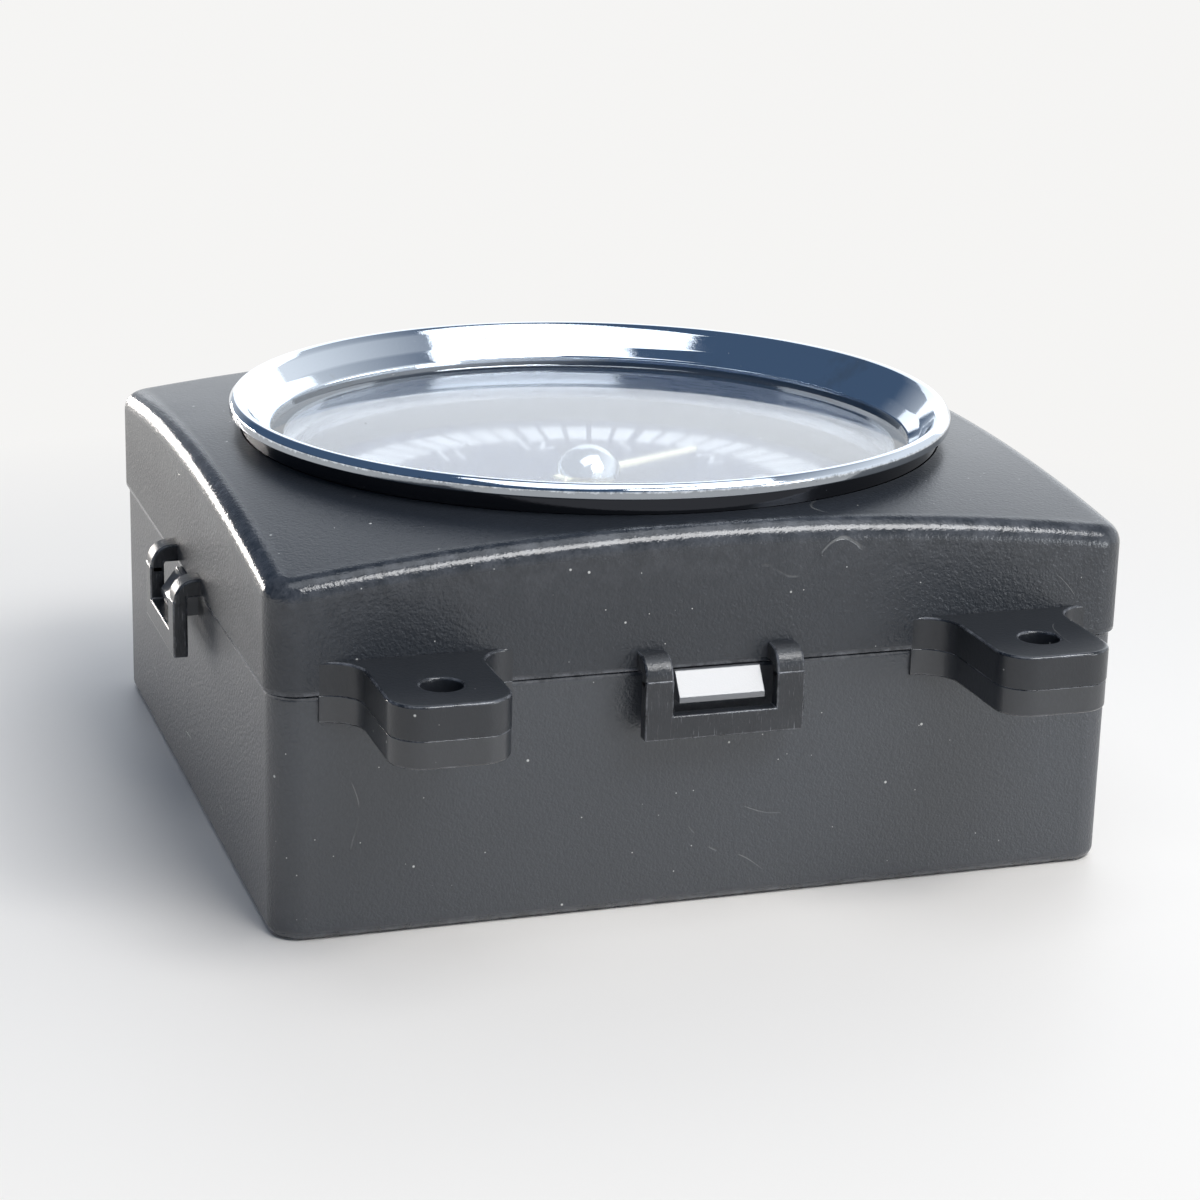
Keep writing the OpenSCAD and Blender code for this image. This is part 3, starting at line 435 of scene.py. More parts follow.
def rim_dirt(tree, place, base):
    """Dirt and a painted dark reflection on the outside of the bezel's rim, and a painted shadow on the neck
    under it
    """
    where = tree.nodes.new("ShaderNodeSeparateXYZ")
    tree.links.new(place, where.inputs["Vector"])
    wide = tree.nodes.new("ShaderNodeVectorMath")
    wide.operation = "LENGTH"
    tree.links.new(stretched(tree, place, (1.0, 1.0, 1000.0)), wide.inputs[0])
    outside = ramp(tree, wide.outputs["Value"], NECK_R - 0.3 * MM, NECK_R - 0.1 * MM)
    ragged = ramp(tree, noise(tree, place, 0.7 * MM, 5.0, 0.7), 0.3, 0.7, -0.18 * MM, 0.18 * MM)
    level = plus(tree, where.outputs["Z"], ragged)
    rim = ramp(tree, level, BEZEL_HIGH.z - 0.75 * MM, BEZEL_HIGH.z - 0.5 * MM, 1.0, 0.0)
    # Dirt and a painted dark reflection: the rim's outer face below the lip is darkened, with a ragged edge
    base = blend_colour(tree, times(tree, times(tree, rim, outside), 0.6), base, (0.03, 0.035, 0.045))
    # Painted shadow: the neck below the rim's underside is darkened
    under = BEZEL_HIGH.z - RIM_H
    neck = ramp(tree, where.outputs["Z"], under - 0.05 * MM, under + 0.05 * MM, 1.0, 0.0)
    return blend_colour(tree, times(tree, neck, outside), base, (0.03, 0.032, 0.038))


def chrome(name, pitted_and_shaded):
    """Bright plating with faint clouding; where worn, with pits, stains, a dirty outer rim darkened further
    by a painted dark reflection, and a painted shadow on the neck
    """
    mat, tree, shader, place = nodes_of(name)
    cloud = noise(tree, place, 6 * MM, 5.0, 0.65)
    fine = noise(tree, place, 0.5 * MM, 4.0, 0.7)
    pits = specks(tree, place, 0.55 * MM, 0.22 if pitted_and_shaded else 0.03)
    stain = ramp(tree, noise(tree, place, 9 * MM, 5.0, 0.6), 0.58, 0.72)
    base = blend_colour(tree, times(tree, stain, 0.35 if pitted_and_shaded else 0.05), (0.8, 0.86, 0.93),
                        (0.6, 0.43, 0.26))
    # Worn chrome also gets dirt with a painted dark reflection on the rim and a painted shadow on the neck
    if pitted_and_shaded:
        base = rim_dirt(tree, place, base)
    base = blend_colour(tree, times(tree, pits, 0.7), base, (0.07, 0.07, 0.08))
    tree.links.new(base, shader.inputs["Base Color"])
    shader.inputs["Metallic"].default_value = 1.0
    rough = plus(tree, ramp(tree, cloud, 0.35, 0.75, 0.03, 0.1), times(tree, pits, 0.4))
    tree.links.new(rough, shader.inputs["Roughness"])
    bump(tree, shader, minus(tree, fine, pits), 0.006 * MM if pitted_and_shaded else 0.001 * MM, 0.6)
    return mat


def ring_silver(name):
    """Satin silver on the upper band and the step, over a dark lower wall"""
    mat, tree, shader, place = nodes_of(name)
    where = tree.nodes.new("ShaderNodeSeparateXYZ")
    tree.links.new(place, where.inputs["Vector"])
    turned = noise(tree, stretched(tree, place, (4 * MM, 4 * MM, 0.12 * MM)), 1.0, 3.0, 0.6)
    band = ramp(tree, where.outputs["Z"], DIAL_TOP + 2.5 * MM, DIAL_TOP + 2.7 * MM)
    silver = blend_colour(tree, turned, (0.6, 0.63, 0.67), (0.74, 0.76, 0.79))
    tree.links.new(blend_colour(tree, band, (0.05, 0.06, 0.085), silver), shader.inputs["Base Color"])
    tree.links.new(band, shader.inputs["Metallic"])
    tree.links.new(ramp(tree, turned, 0.3, 0.7, 0.24, 0.36), shader.inputs["Roughness"])
    bump(tree, shader, turned, 0.002 * MM)
    return mat


def glass(name):
    """Clear lens with a dusty film, which lets the lamps' light through to the dial"""
    mat, tree, shader, place = nodes_of(name)
    film = ramp(tree, noise(tree, place, 5 * MM, 5.0, 0.65), 0.35, 0.8, 0.02, 0.07)
    dust = specks(tree, place, 1.6 * MM, 0.06)
    tree.links.new(plus(tree, film, times(tree, dust, 0.5)), shader.inputs["Roughness"])
    shader.inputs["Base Color"].default_value = (0.95, 0.97, 0.98, 1.0)
    shader.inputs["Transmission Weight"].default_value = 1.0
    shader.inputs["IOR"].default_value = 1.49
    clear = tree.nodes.new("ShaderNodeBsdfTransparent")
    mix = tree.nodes.new("ShaderNodeMixShader")
    path = tree.nodes.new("ShaderNodeLightPath")
    tree.links.new(path.outputs["Is Shadow Ray"], mix.inputs["Fac"])
    tree.links.new(shader.outputs["BSDF"], mix.inputs[1])
    tree.links.new(clear.outputs["BSDF"], mix.inputs[2])
    tree.links.new(mix.outputs["Shader"], tree.nodes["Material Output"].inputs["Surface"])
    return mat


def wound(name, colour, pitch):
    """Enamelled wire laid in turns along X"""
    mat, tree, shader, place = nodes_of(name)
    turns = tree.nodes.new("ShaderNodeTexWave")
    turns.bands_direction = "X"
    turns.inputs["Scale"].default_value = math.pi / (10 * pitch)
    turns.inputs["Distortion"].default_value = 0.4
    tree.links.new(place, turns.inputs["Vector"])
    base = blend_colour(tree, turns.outputs["Fac"], tuple(0.35 * c for c in colour), colour)
    tree.links.new(base, shader.inputs["Base Color"])
    shader.inputs["Metallic"].default_value = 0.7
    tree.links.new(ramp(tree, noise(tree, place, 2 * MM), 0.3, 0.7, 0.25, 0.42), shader.inputs["Roughness"])
    bump(tree, shader, turns.outputs["Fac"], 0.03 * MM)
    return mat


def laminate(name):
    """Green solder mask with copper tracks under it"""
    mat, tree, shader, place = nodes_of(name)
    tracks = tree.nodes.new("ShaderNodeTexBrick")
    tracks.inputs["Scale"].default_value = 1.0 / (14 * MM)
    tracks.inputs["Mortar Size"].default_value = 0.02
    tree.links.new(place, tracks.inputs["Vector"])
    base = blend_colour(tree, tracks.outputs["Fac"], (0.02, 0.13, 0.05), (0.05, 0.24, 0.1))
    tree.links.new(base, shader.inputs["Base Color"])
    tree.links.new(ramp(tree, noise(tree, place, 3 * MM), 0.3, 0.7, 0.26, 0.4), shader.inputs["Roughness"])
    bump(tree, shader, tracks.outputs["Fac"], 0.03 * MM)
    return mat


def dress(node, mat):
    """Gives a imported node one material"""
    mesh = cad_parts[node].data
    mesh.materials.clear()
    mesh.materials.append(mat)


def finish_mesh(mesh, mat):
    """Material and shading of a new mesh"""
    mesh.materials.clear()
    mesh.materials.append(mat)
    mesh.shade_smooth()
    mesh.set_sharp_from_angle(angle=SMOOTH_BELOW)


def add_piece(name, bm, mat, node=None):
    """A new piece of the case from a bmesh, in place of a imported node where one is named"""
    mesh = bpy.data.meshes.new(name)
    bm.to_mesh(mesh)
    bm.free()
    finish_mesh(mesh, mat)
    piece = bpy.data.objects.new(name, mesh)
    bpy.context.scene.collection.objects.link(piece)
    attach(piece, "case")
    if node:
        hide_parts(node)
    return piece


def outline(half_w, half_d, r):
    """Points and outward normals round a rectangle with round corners, counterclockwise"""
    found = []
    for quarter in range(4):
        turn = Matrix.Rotation(quarter * math.pi / 2, 3, "Z")
        a, b = (half_w, half_d) if quarter % 2 == 0 else (half_d, half_w)
        for k in range(SIDE_STEPS):
            y = (b - r) * (2 * k / SIDE_STEPS - 1)
            found.append((turn @ Vector((a, y, 0)), turn @ Vector((1, 0, 0))))
        for k in range(CORNER_STEPS):
            angle = math.pi / 2 * k / CORNER_STEPS
            out = Vector((math.cos(angle), math.sin(angle), 0))
            found.append((turn @ (Vector((a - r, b - r, 0)) + r * out), turn @ out))
    return found


def circle_like(points, r):
    """Points on a circle round the axis, in the directions of other points"""
    return [p.xy.normalized().to_3d() * r for p in points]


def at_z(points, z):
    """Points moved to a height"""
    return [Vector((p.x, p.y, z)) for p in points]


def on_sphere(points, r):
    """Points lifted to a sphere round the dome's middle"""
    return [Vector((p.x, p.y, DOME_MID.z + math.sqrt(r * r - p.x * p.x - p.y * p.y))) for p in points]


def inset(line, by):
    """Points of an outline moved in by a distance"""
    return [p - by * n for p, n in line]


def between(a, b, t):
    """Points a share of the way from one ring to another"""
    return [p.lerp(q, t) for p, q in zip(a, b)]


def rounding(line, z, width, up, steps=BEVEL_STEPS):
    """Rings of a rounded edge from a wall to a flat at height z; up is 1 where the flat faces up"""
    rings = []
    for k in range(steps + 1):
        angle = math.pi / 2 * k / steps
        rings.append(at_z(inset(line, width * (1 - math.cos(angle))), z - up * width * (1 - math.sin(angle))))
    return rings


def row_edges(row):
    """Edges between neighbours of a closed row of vertices"""
    own = set(row)
    return list({e for v in row for e in v.link_edges if e.verts[0] in own and e.verts[1] in own})


def fresh_mesh():
    """Empty bmesh with every layer that the plastic reads, made before any vertex"""
    bm = bmesh.new()
    for name in LAYERS:
        bm.verts.layers.float.new(name)
    return bm


def loft(bm, rings, marks=None, closed=True):
    """Skin through rings of points, extruded ring by ring, with the wear of each ring"""
    worn = bm.verts.layers.float["worn"]
    row = bmesh.ops.create_circle(bm, cap_ends=False, segments=len(rings[0]), radius=1.0)["verts"]
    first = row
    for v, p in zip(row, rings[0]):
        v.co = p
        v[worn] = marks[0] if marks else 0.0
    for k in range(1, len(rings) + closed):
        made = bmesh.ops.extrude_edge_only(bm, edges=row_edges(row))["geom"]
        fresh = {g for g in made if isinstance(g, bmesh.types.BMVert)}
        row = [next(e.other_vert(v) for e in v.link_edges if e.other_vert(v) in fresh) for v in row]
        at = k % len(rings)
        for v, p in zip(row, rings[at]):
            v.co = p
            v[worn] = marks[at] if marks else 0.0
    if closed:
        bmesh.ops.weld_verts(bm, targetmap=dict(zip(row, first)))
    return first, row


def even_shading(piece):
    """Keeps broad faces flat beside their rounded edges"""
    even = piece.modifiers.new("even shading", "WEIGHTED_NORMAL")
    even.mode = "FACE_AREA"
    even.weight = 50
    even.keep_sharp = True


def tag_new(bm, old, name):
    """Marks the vertices that are not in a set, on a layer of its own"""
    layer = bm.verts.layers.float[name]
    for v in bm.verts:
        if v not in old:
            v[layer] = 1.0


def round_off(bm, verts, edge, turn):
    """Bevels the sharp edges of a solid, marks them worn and turns it into place"""
    worn = bm.verts.layers.float["worn"]
    edges = [e for e in {e for v in verts for e in v.link_edges}
             if len(e.link_faces) == 2 and e.calc_face_angle(0.0) > SHARP_ABOVE]
    made = bmesh.ops.bevel(bm, geom=edges, offset=edge, offset_type="OFFSET", segments=BEVEL_STEPS,
                           profile=0.5, affect="EDGES", clamp_overlap=True, material=-1)
    strip = set(made["faces"])
    for v in made["verts"]:
        v[worn] = 1.0 if all(f in strip for f in v.link_faces) else 0.05
    own = {v for v in verts if v.is_valid} | set(made["verts"])
    bmesh.ops.transform(bm, matrix=turn, verts=list(own))


def prism(bm, profile, x0, x1, edge, turn):
    """Solid with a side profile in Y and Z between two X places, with rounded edges"""
    verts = [bm.verts.new((x0, y, z)) for y, z in profile]
    face = bm.faces.new(verts)
    made = bmesh.ops.extrude_face_region(bm, geom=[face], use_keep_orig=True)["geom"]
    far = [g for g in made if isinstance(g, bmesh.types.BMVert)]
    bmesh.ops.translate(bm, vec=(x1 - x0, 0, 0), verts=far)
    verts += far
    bmesh.ops.recalc_face_normals(bm, faces=list({f for v in verts for f in v.link_faces}))
    round_off(bm, verts, edge, turn)


def around(angle):
    """Level unit vector at an angle from X"""
    return Vector((math.cos(angle), math.sin(angle), 0))


def tab_outline(shrink):
    """Points and outward normals round a tab: root, flared sides, round corners and tip"""
    end_steps, side_steps, arc_steps, back_steps = 4, 8, 12, 6
    arc = [k / arc_steps for k in range(arc_steps + 1)]
    flare_mid = Vector((TAB_HALF + TAB_FLARE, -TAB_FLARE, 0))
    corner_mid = Vector((TAB_HALF - TAB_CORNER, TAB_CORNER - TAB_OUT, 0))
    side = TAB_OUT - TAB_FLARE - TAB_CORNER
    half = []
    for k in range(end_steps):
        root = Vector((flare_mid.x, TAB_ROOT * (1 - k / end_steps), 0))
        half.append((root, around(-math.pi / 2 if k else 0.0)))
    for t in arc:
        out = around(math.pi / 2 * (1 + t))
        half.append((flare_mid + TAB_FLARE * out, -out))
    for k in range(1, side_steps):
        half.append((Vector((TAB_HALF, -TAB_FLARE - side * k / side_steps, 0)), around(0.0)))
    for t in arc:
        out = around(-math.pi / 2 * t)
        half.append((corner_mid + TAB_CORNER * out, out))
    for k in range(1, end_steps + 1):
        half.append((Vector((corner_mid.x * (1 - k / end_steps), -TAB_OUT, 0)), around(-math.pi / 2)))
    mirrored = [(Vector((-p.x, p.y, 0)), Vector((-n.x, n.y, 0))) for p, n in reversed(half[:-1])]
    back = []
    for k in range(1, 2 * back_steps):
        back.append((Vector((flare_mid.x * (k / back_steps - 1), TAB_ROOT, 0)), around(math.pi / 2)))
    return [(p - shrink * n, n) for p, n in half + mirrored + back]


def tab(bm, x, z0, z1, lip0, lip1, shrink):
    """One mounting tab with its hole and rounded edges"""
    line = tab_outline(shrink)
    ring = []
    first = 5.5
    for k in range(len(line)):
        out = around(math.tau * (0.25 - (k + first) / len(line)))
        ring.append((Vector((0, -HOLE_OUT, 0)) + HOLE_R * out, -out))
    place = Matrix.Translation((x, -HALF_D, 0))
    flat = 0.25 * MM
    wear = [0.0, 0.0, 0.7, 0.7, 0.0, 0.0, 1.0, 1.0, 0.0, 0.0]
    loops = []
    for loop in (line, ring):
        rings = rounding(loop, z0, lip0, -1)[::-1] + rounding(loop, z1, lip1, 1)
        rings.insert(0, at_z(inset(loop, lip0 + flat), z0))
        rings.append(at_z(inset(loop, lip1 + flat), z1))
        rings = [[place @ p for p in r] for r in rings]
        loops.append(loft(bm, rings, wear, False))
    for end in (0, 1):
        edges = row_edges(loops[0][end]) + row_edges(loops[1][end])
        bmesh.ops.triangle_fill(bm, use_beauty=True, use_dissolve=False, edges=edges,
                                normal=(0, 0, 2 * end - 1))


def both_tabs(bm, z0, z1, lip0, lip1, shrink):
    """The two tab halves of a shell, marked on their own layer"""
    old = set(bm.verts)
    for x in (-TAB_X, TAB_X):
        tab(bm, x, z0, z1, lip0, lip1, shrink)
    tag_new(bm, old, "tab")


def wall_turns():
    """Turns that bring a catch from the wall plane at Y = 0 to each of the four walls"""
    for angle, reach in ((0, HALF_D), (math.pi, HALF_D), (math.pi / 2, HALF_W), (-math.pi / 2, HALF_W)):
        yield Matrix.Rotation(angle, 4, "Z") @ Matrix.Translation((0, -reach, 0))


def catch_loop(bm, case, turn):
    """Loop hanging from the front shell: a bar and two legs, with polished ears above a small ledge"""
    ledge, low, bar, top = PART_Z - LEDGE_DROP, PART_Z - LOOP_LOW, PART_Z - BAR_DROP, PART_Z + EAR_H
    inner = LOOP_HALF - LEG_W
    front = [(-LOOP_HALF, low), (LOOP_HALF, low), (LOOP_HALF, ledge), (inner, ledge), (inner, bar),
             (-inner, bar), (-inner, ledge), (-LOOP_HALF, ledge)]
    upright = turn @ Matrix(((0, 1, 0, 0), (-1, 0, 0, 0), (0, 0, 1, 0), (0, 0, 0, 1)))
    prism(bm, front, LOOP_GAP, LOOP_OUT, case.edge * 0.8, upright)
    root, foot, out = 0.5 * MM, PART_Z + 0.1 * MM, LOOP_OUT - EAR_IN
    side = [(root, foot), (root, top)]
    for k in range(9):
        way = around(math.pi / 2 * (1 + k / 8))
        side.append((EAR_R * (1 + way.x) - out, top - EAR_R * (1 - way.y)))
    side += [(-out, ledge - EAR_LAP), (-LOOP_GAP, ledge - EAR_LAP), (-LOOP_GAP, foot)]
    for x in (-LOOP_HALF, inner):
        prism(bm, side, x, x + LEG_W, case.edge, turn)


def wedge(bm, turn):
    """Sloped wedge on the rear shell, inside a loop"""
    base, top = PART_Z - WEDGE_H, PART_Z - PART_GAP
    side = [(WEDGE_ROOT, base), (-WEDGE_OUT, base), (-WEDGE_OUT, base + WEDGE_LIP), (-WEDGE_TOP, top),
            (WEDGE_ROOT, top)]
    prism(bm, side, -WEDGE_HALF, WEDGE_HALF, WEDGE_EDGE, turn)


def bosses(bm, low, high):
    """Four screw bosses between two heights"""
    for x in (-BOSS_X, BOSS_X):
        for y in (-BOSS_Y, BOSS_Y):
            made = bmesh.ops.create_cone(bm, cap_ends=True, segments=32, radius1=BOSS_R, radius2=BOSS_R,
                                         depth=high - low)
            bmesh.ops.translate(bm, vec=(x, y, (low + high) / 2), verts=made["verts"])


def fillet_rings(line):
    """Rings of the rounded edge from the wall to the dome, as a ball rolling between them leaves it"""
    arcs = []
    for p, n in line:
        c = p - FILLET_R * n
        c.z = DOME_MID.z + math.sqrt((DOME_R - FILLET_R) ** 2 - c.x * c.x - c.y * c.y)
        up = (c - DOME_MID).normalized()
        arcs.append([c + FILLET_R * n.slerp(up, k / FILLET_STEPS) for k in range(FILLET_STEPS + 1)])
    return [list(ring) for ring in zip(*arcs)]


def front_shell(case):
    """Domed shell with its opening, its inside, tab halves, loops and screw bosses"""
    bm = fresh_mesh()
    line = outline(HALF_W, HALF_D, CORNER_R)
    flat = [p for p, n in line]
    fillet = fillet_rings(line)
    rings = rounding(line, PART_Z, case.part_edge, -1)[::-1]
    foot = rings[-1]
    rings += [at_z(foot, foot[0].z + 0.35 * MM), between(foot, fillet[0], 0.5)] + fillet
    marks = [EDGE_WEAR] * (BEVEL_STEPS + 1) + [0.0, 0.0]
    for k in range(FILLET_STEPS + 1):
        marks.append(FILLET_WEAR * (1 + 2 * math.sin(math.pi * k / FILLET_STEPS)) / 3)
    mouth = circle_like(flat, NECK_R + MOUTH_GAP)
    rings += [on_sphere(between(fillet[-1], mouth, t), DOME_R) for t in (0.08, 0.25, 0.5, 0.75, 1.0)]
    seat, ledge = BEZEL_LOW.z, BEZEL_LOW.z - LEDGE_T
    well = circle_like(flat, DIAL_R + RING_GAP)
    collar = circle_like(flat, NECK_R + MOUTH_GAP + COLLAR_T)
    rings += [at_z(mouth, seat), at_z(well, seat), at_z(well, ledge), at_z(collar, ledge)]
    inner = inset(line, WALL_T)
    rings += [on_sphere(between(collar, inner, t), DOME_R - WALL_T) for t in (0.0, 0.5, 1.0)]
    rings.append(at_z(inner, PART_Z))
    loft(bm, rings, marks + [0.0] * (len(rings) - len(marks)))
    bosses(bm, *FRONT_BOSSES)
    both_tabs(bm, PART_Z, TAB_TOP, case.part_edge, case.edge, 0.0)
    old = set(bm.verts)
    for turn in wall_turns():
        catch_loop(bm, case, turn)
    tag_new(bm, old, "catch")
    return bm


def socket_cut(points):
    """Points drawn in to a rectangle around the connector, with four of them on its corners"""
    low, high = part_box("connector_socket")
    middle = Vector(((low.x + high.x) / 2, (low.y + high.y) / 2, 0))
    half = Vector(((high.x - low.x) / 2 + SOCKET_GAP, (high.y - low.y) / 2 + SOCKET_GAP, 0))
    tiny = 1e-9
    cut = [middle + p * min(half.x / max(abs(p.x), tiny), half.y / max(abs(p.y), tiny)) for p in points]
    for sx in (-1, 1):
        for sy in (-1, 1):
            corner = middle + Vector((sx * half.x, sy * half.y, 0))
            near = min(range(len(cut)), key=lambda k: (cut[k] - corner).length)
            cut[near] = corner
    return cut


def rear_shell(case):
    """Box of the case with its back opening, locating lip, tab halves, wedges and board bosses"""
    bm = fresh_mesh()
    line = outline(HALF_W - STEP, HALF_D - STEP, CORNER_R)
    wall = [p for p, n in line]
    top = PART_Z - PART_GAP
    foot_wear = [0.0, 0.3, 0.6, 0.6, 0.3, 0.0]
    rings = rounding(line, 0.0, case.foot_edge, -1, len(foot_wear) - 1)[::-1]
    rings += [at_z(wall, z) for z in (0.35 * top, 0.7 * top, top - case.part_edge - 0.3 * MM)]
    rings += rounding(line, top, case.part_edge, 1)
    marks = foot_wear + [0.0] * 3 + [EDGE_WEAR] * (BEVEL_STEPS + 1)
    lip = outline(HALF_W - WALL_T - LIP_GAP, HALF_D - WALL_T - LIP_GAP, LIP_R)
    crest, root = PART_Z + LIP_H, PART_Z - LIP_ROOT
    for depth, z in ((0.0, top), (0.0, crest - LIP_EDGE), (LIP_EDGE, crest), (LIP_T, crest), (LIP_T, root)):
        rings.append(at_z(inset(lip, depth), z))
    inner = inset(line, WALL_T)
    cut = socket_cut(wall)
    rings += [at_z(inner, root), at_z(inner, WALL_T), at_z(cut, WALL_T), at_z(cut, 0.0)]
    loft(bm, rings, marks + [0.0] * (len(rings) - len(marks)))
    bosses(bm, *REAR_BOSSES)
    both_tabs(bm, TAB_LOW, PART_Z, case.edge, case.part_edge, 0.04 * MM)
    old = set(bm.verts)
    for turn in wall_turns():
        wedge(bm, turn)
    tag_new(bm, old, "wedge")
    return bm


class CLOCK_OT_shells(bpy.types.Operator):
    """Build both shells of the case with rounded edges"""
    bl_idname = "clock.shells"
    bl_label = "Shells"

    def execute(self, context):
        case = context.scene.clock_case
        # The rear shell's plastic is a paler copy of the front's, by the rear factor: painted light on the
        # lower shell
        for node, slot, build, shade, shine in (
                ("front_housing", "front_shell_plastic", front_shell, 1.0, case.shine),
                ("rear_housing", "rear_shell_plastic", rear_shell, case.back_shade, 1.5 * case.shine)):
            bm = build(case)
            bmesh.ops.recalc_face_normals(bm, faces=bm.faces)
            name = node.replace("housing", "shell")
            mat = shell_plastic(name + " plastic", tuple(shade * c for c in case.colour), shine, case)
            even_shading(add_piece(name, bm, mat, node))
        return {"FINISHED"}


class CLOCK_OT_bezel(bpy.types.Operator):
    """Build the chrome bezel: rolled rim, coved inside, neck and foot"""
    bl_idname = "clock.bezel"
    bl_label = "Bezel"

    def execute(self, context):
        out_r, low, top = BEZEL_HIGH.x, BEZEL_LOW.z, BEZEL_HIGH.z
        recess_r = NECK_R - NECK_T
        foot_r = recess_r - LENS_LAP
        hidden = [(foot_r, LENS_TOP), (recess_r, LENS_TOP), (recess_r, low), (NECK_R, low)]
        rim = [(NECK_R, top - RIM_H), (out_r, top - RIM_H), (out_r, top - RIM_SIDE), (out_r - RIM_ROLL, top),
               (out_r - RIM_CREST, top), (out_r - RIM_THICK, top - RIM_ROLL)]
        cove = [(foot_r + COVE_OUT, LENS_TOP + COVE_TOP), (foot_r, LENS_TOP + COVE_LOW)]
        bm = bmesh.new()
        verts = [bm.verts.new((r, 0.0, z)) for r, z in hidden + rim + cove]
        bm.faces.new(verts)
        bmesh.ops.bevel(bm, geom=verts[len(hidden):], offset=RIM_EDGE, offset_type="OFFSET", segments=4,
                        profile=0.5, affect="VERTICES", clamp_overlap=True, material=-1)
        bmesh.ops.delete(bm, geom=list(bm.faces), context="FACES_ONLY")
        bmesh.ops.spin(bm, geom=list(bm.verts) + list(bm.edges), cent=(0, 0, 0), axis=(0, 0, 1),
                       dvec=(0, 0, 0), angle=math.tau, steps=TURN_STEPS, use_merge=True)
        bmesh.ops.remove_doubles(bm, verts=bm.verts, dist=0.0005 * MM)
        bmesh.ops.recalc_face_normals(bm, faces=bm.faces)
        # The bezel's chrome carries the painted rim reflection and the painted neck shadow
        even_shading(add_piece("bezel", bm, chrome("worn chrome with painted shade", True), "bezel_ring"))
        return {"FINISHED"}


def minute_track(dial, z):
    """Sixty printed blocks in a ring, with a wider gap at each fifth minute"""
    bm = bmesh.new()
    wide, narrow = 1.15, 0.65
    depth = dial.track_out - dial.track_in
    for minute in range(60):
        before = wide if minute % 5 == 0 else narrow
        after = wide if minute % 5 == 4 else narrow
        across = math.radians(6 - before - after)
        turn = Matrix.Rotation(-math.radians(6 * minute + 3 + (before - after) / 2), 4, "Z")
        mark = bmesh.ops.create_cube(bm, size=1.0)["verts"]
        bmesh.ops.scale(bm, vec=(across, depth, dial.print_t), verts=mark)
        bmesh.ops.translate(bm, vec=(0, dial.track_in + depth / 2, z), verts=mark)
        for v in mark:
            v.co.x *= v.co.y
        bmesh.ops.transform(bm, matrix=turn, verts=mark)
    return bm


def numeral(context, dial, hour, z):
    """One plain upright numeral in its place on the dial"""
    size_per_height, spacing, narrowing = 1.4, 0.82, 0.78
    curve = bpy.data.curves.new(f"numeral_{hour}", "FONT")
    curve.body = str(hour)
    curve.size = dial.numeral_size * size_per_height
    curve.space_character = spacing
    curve.align_x = curve.align_y = "CENTER"
    curve.extrude = dial.print_t / 2
    holder = bpy.data.objects.new(f"numeral_{hour}", curve)
    context.scene.collection.objects.link(holder)
    context.view_layer.update()
    mesh = bpy.data.meshes.new_from_object(holder.evaluated_get(context.evaluated_depsgraph_get()))
    bpy.data.objects.remove(holder)
    bm = bmesh.new()
    bm.from_mesh(mesh)
    bpy.data.meshes.remove(mesh)
    angle = math.tau * hour / 12
    place = Vector((math.sin(angle) * dial.numeral_r, math.cos(angle) * dial.numeral_r, z))
    bmesh.ops.scale(bm, vec=(narrowing, 1.0, 1.0), verts=bm.verts)
    bmesh.ops.translate(bm, vec=place, verts=bm.verts)
    return bm


class CLOCK_OT_dial_print(bpy.types.Operator):
    """Lay the minute track and plain numerals on the dial"""
    bl_idname = "clock.dial_print"
    bl_label = "Dial print"

    def execute(self, context):
        dial = context.scene.clock_dial
        z = DIAL_TOP + 0.002 * MM + dial.print_t / 2
        white = plain("dial white", (0.5, 0.53, 0.58), 0.5, depth=0.001 * MM, spread=0.12)
        add_piece("minute_track", minute_track(dial, z), white)
        for hour in range(1, 13):
            add_piece(f"numeral_{hour}", numeral(context, dial, hour, z), white)
        return {"FINISHED"}


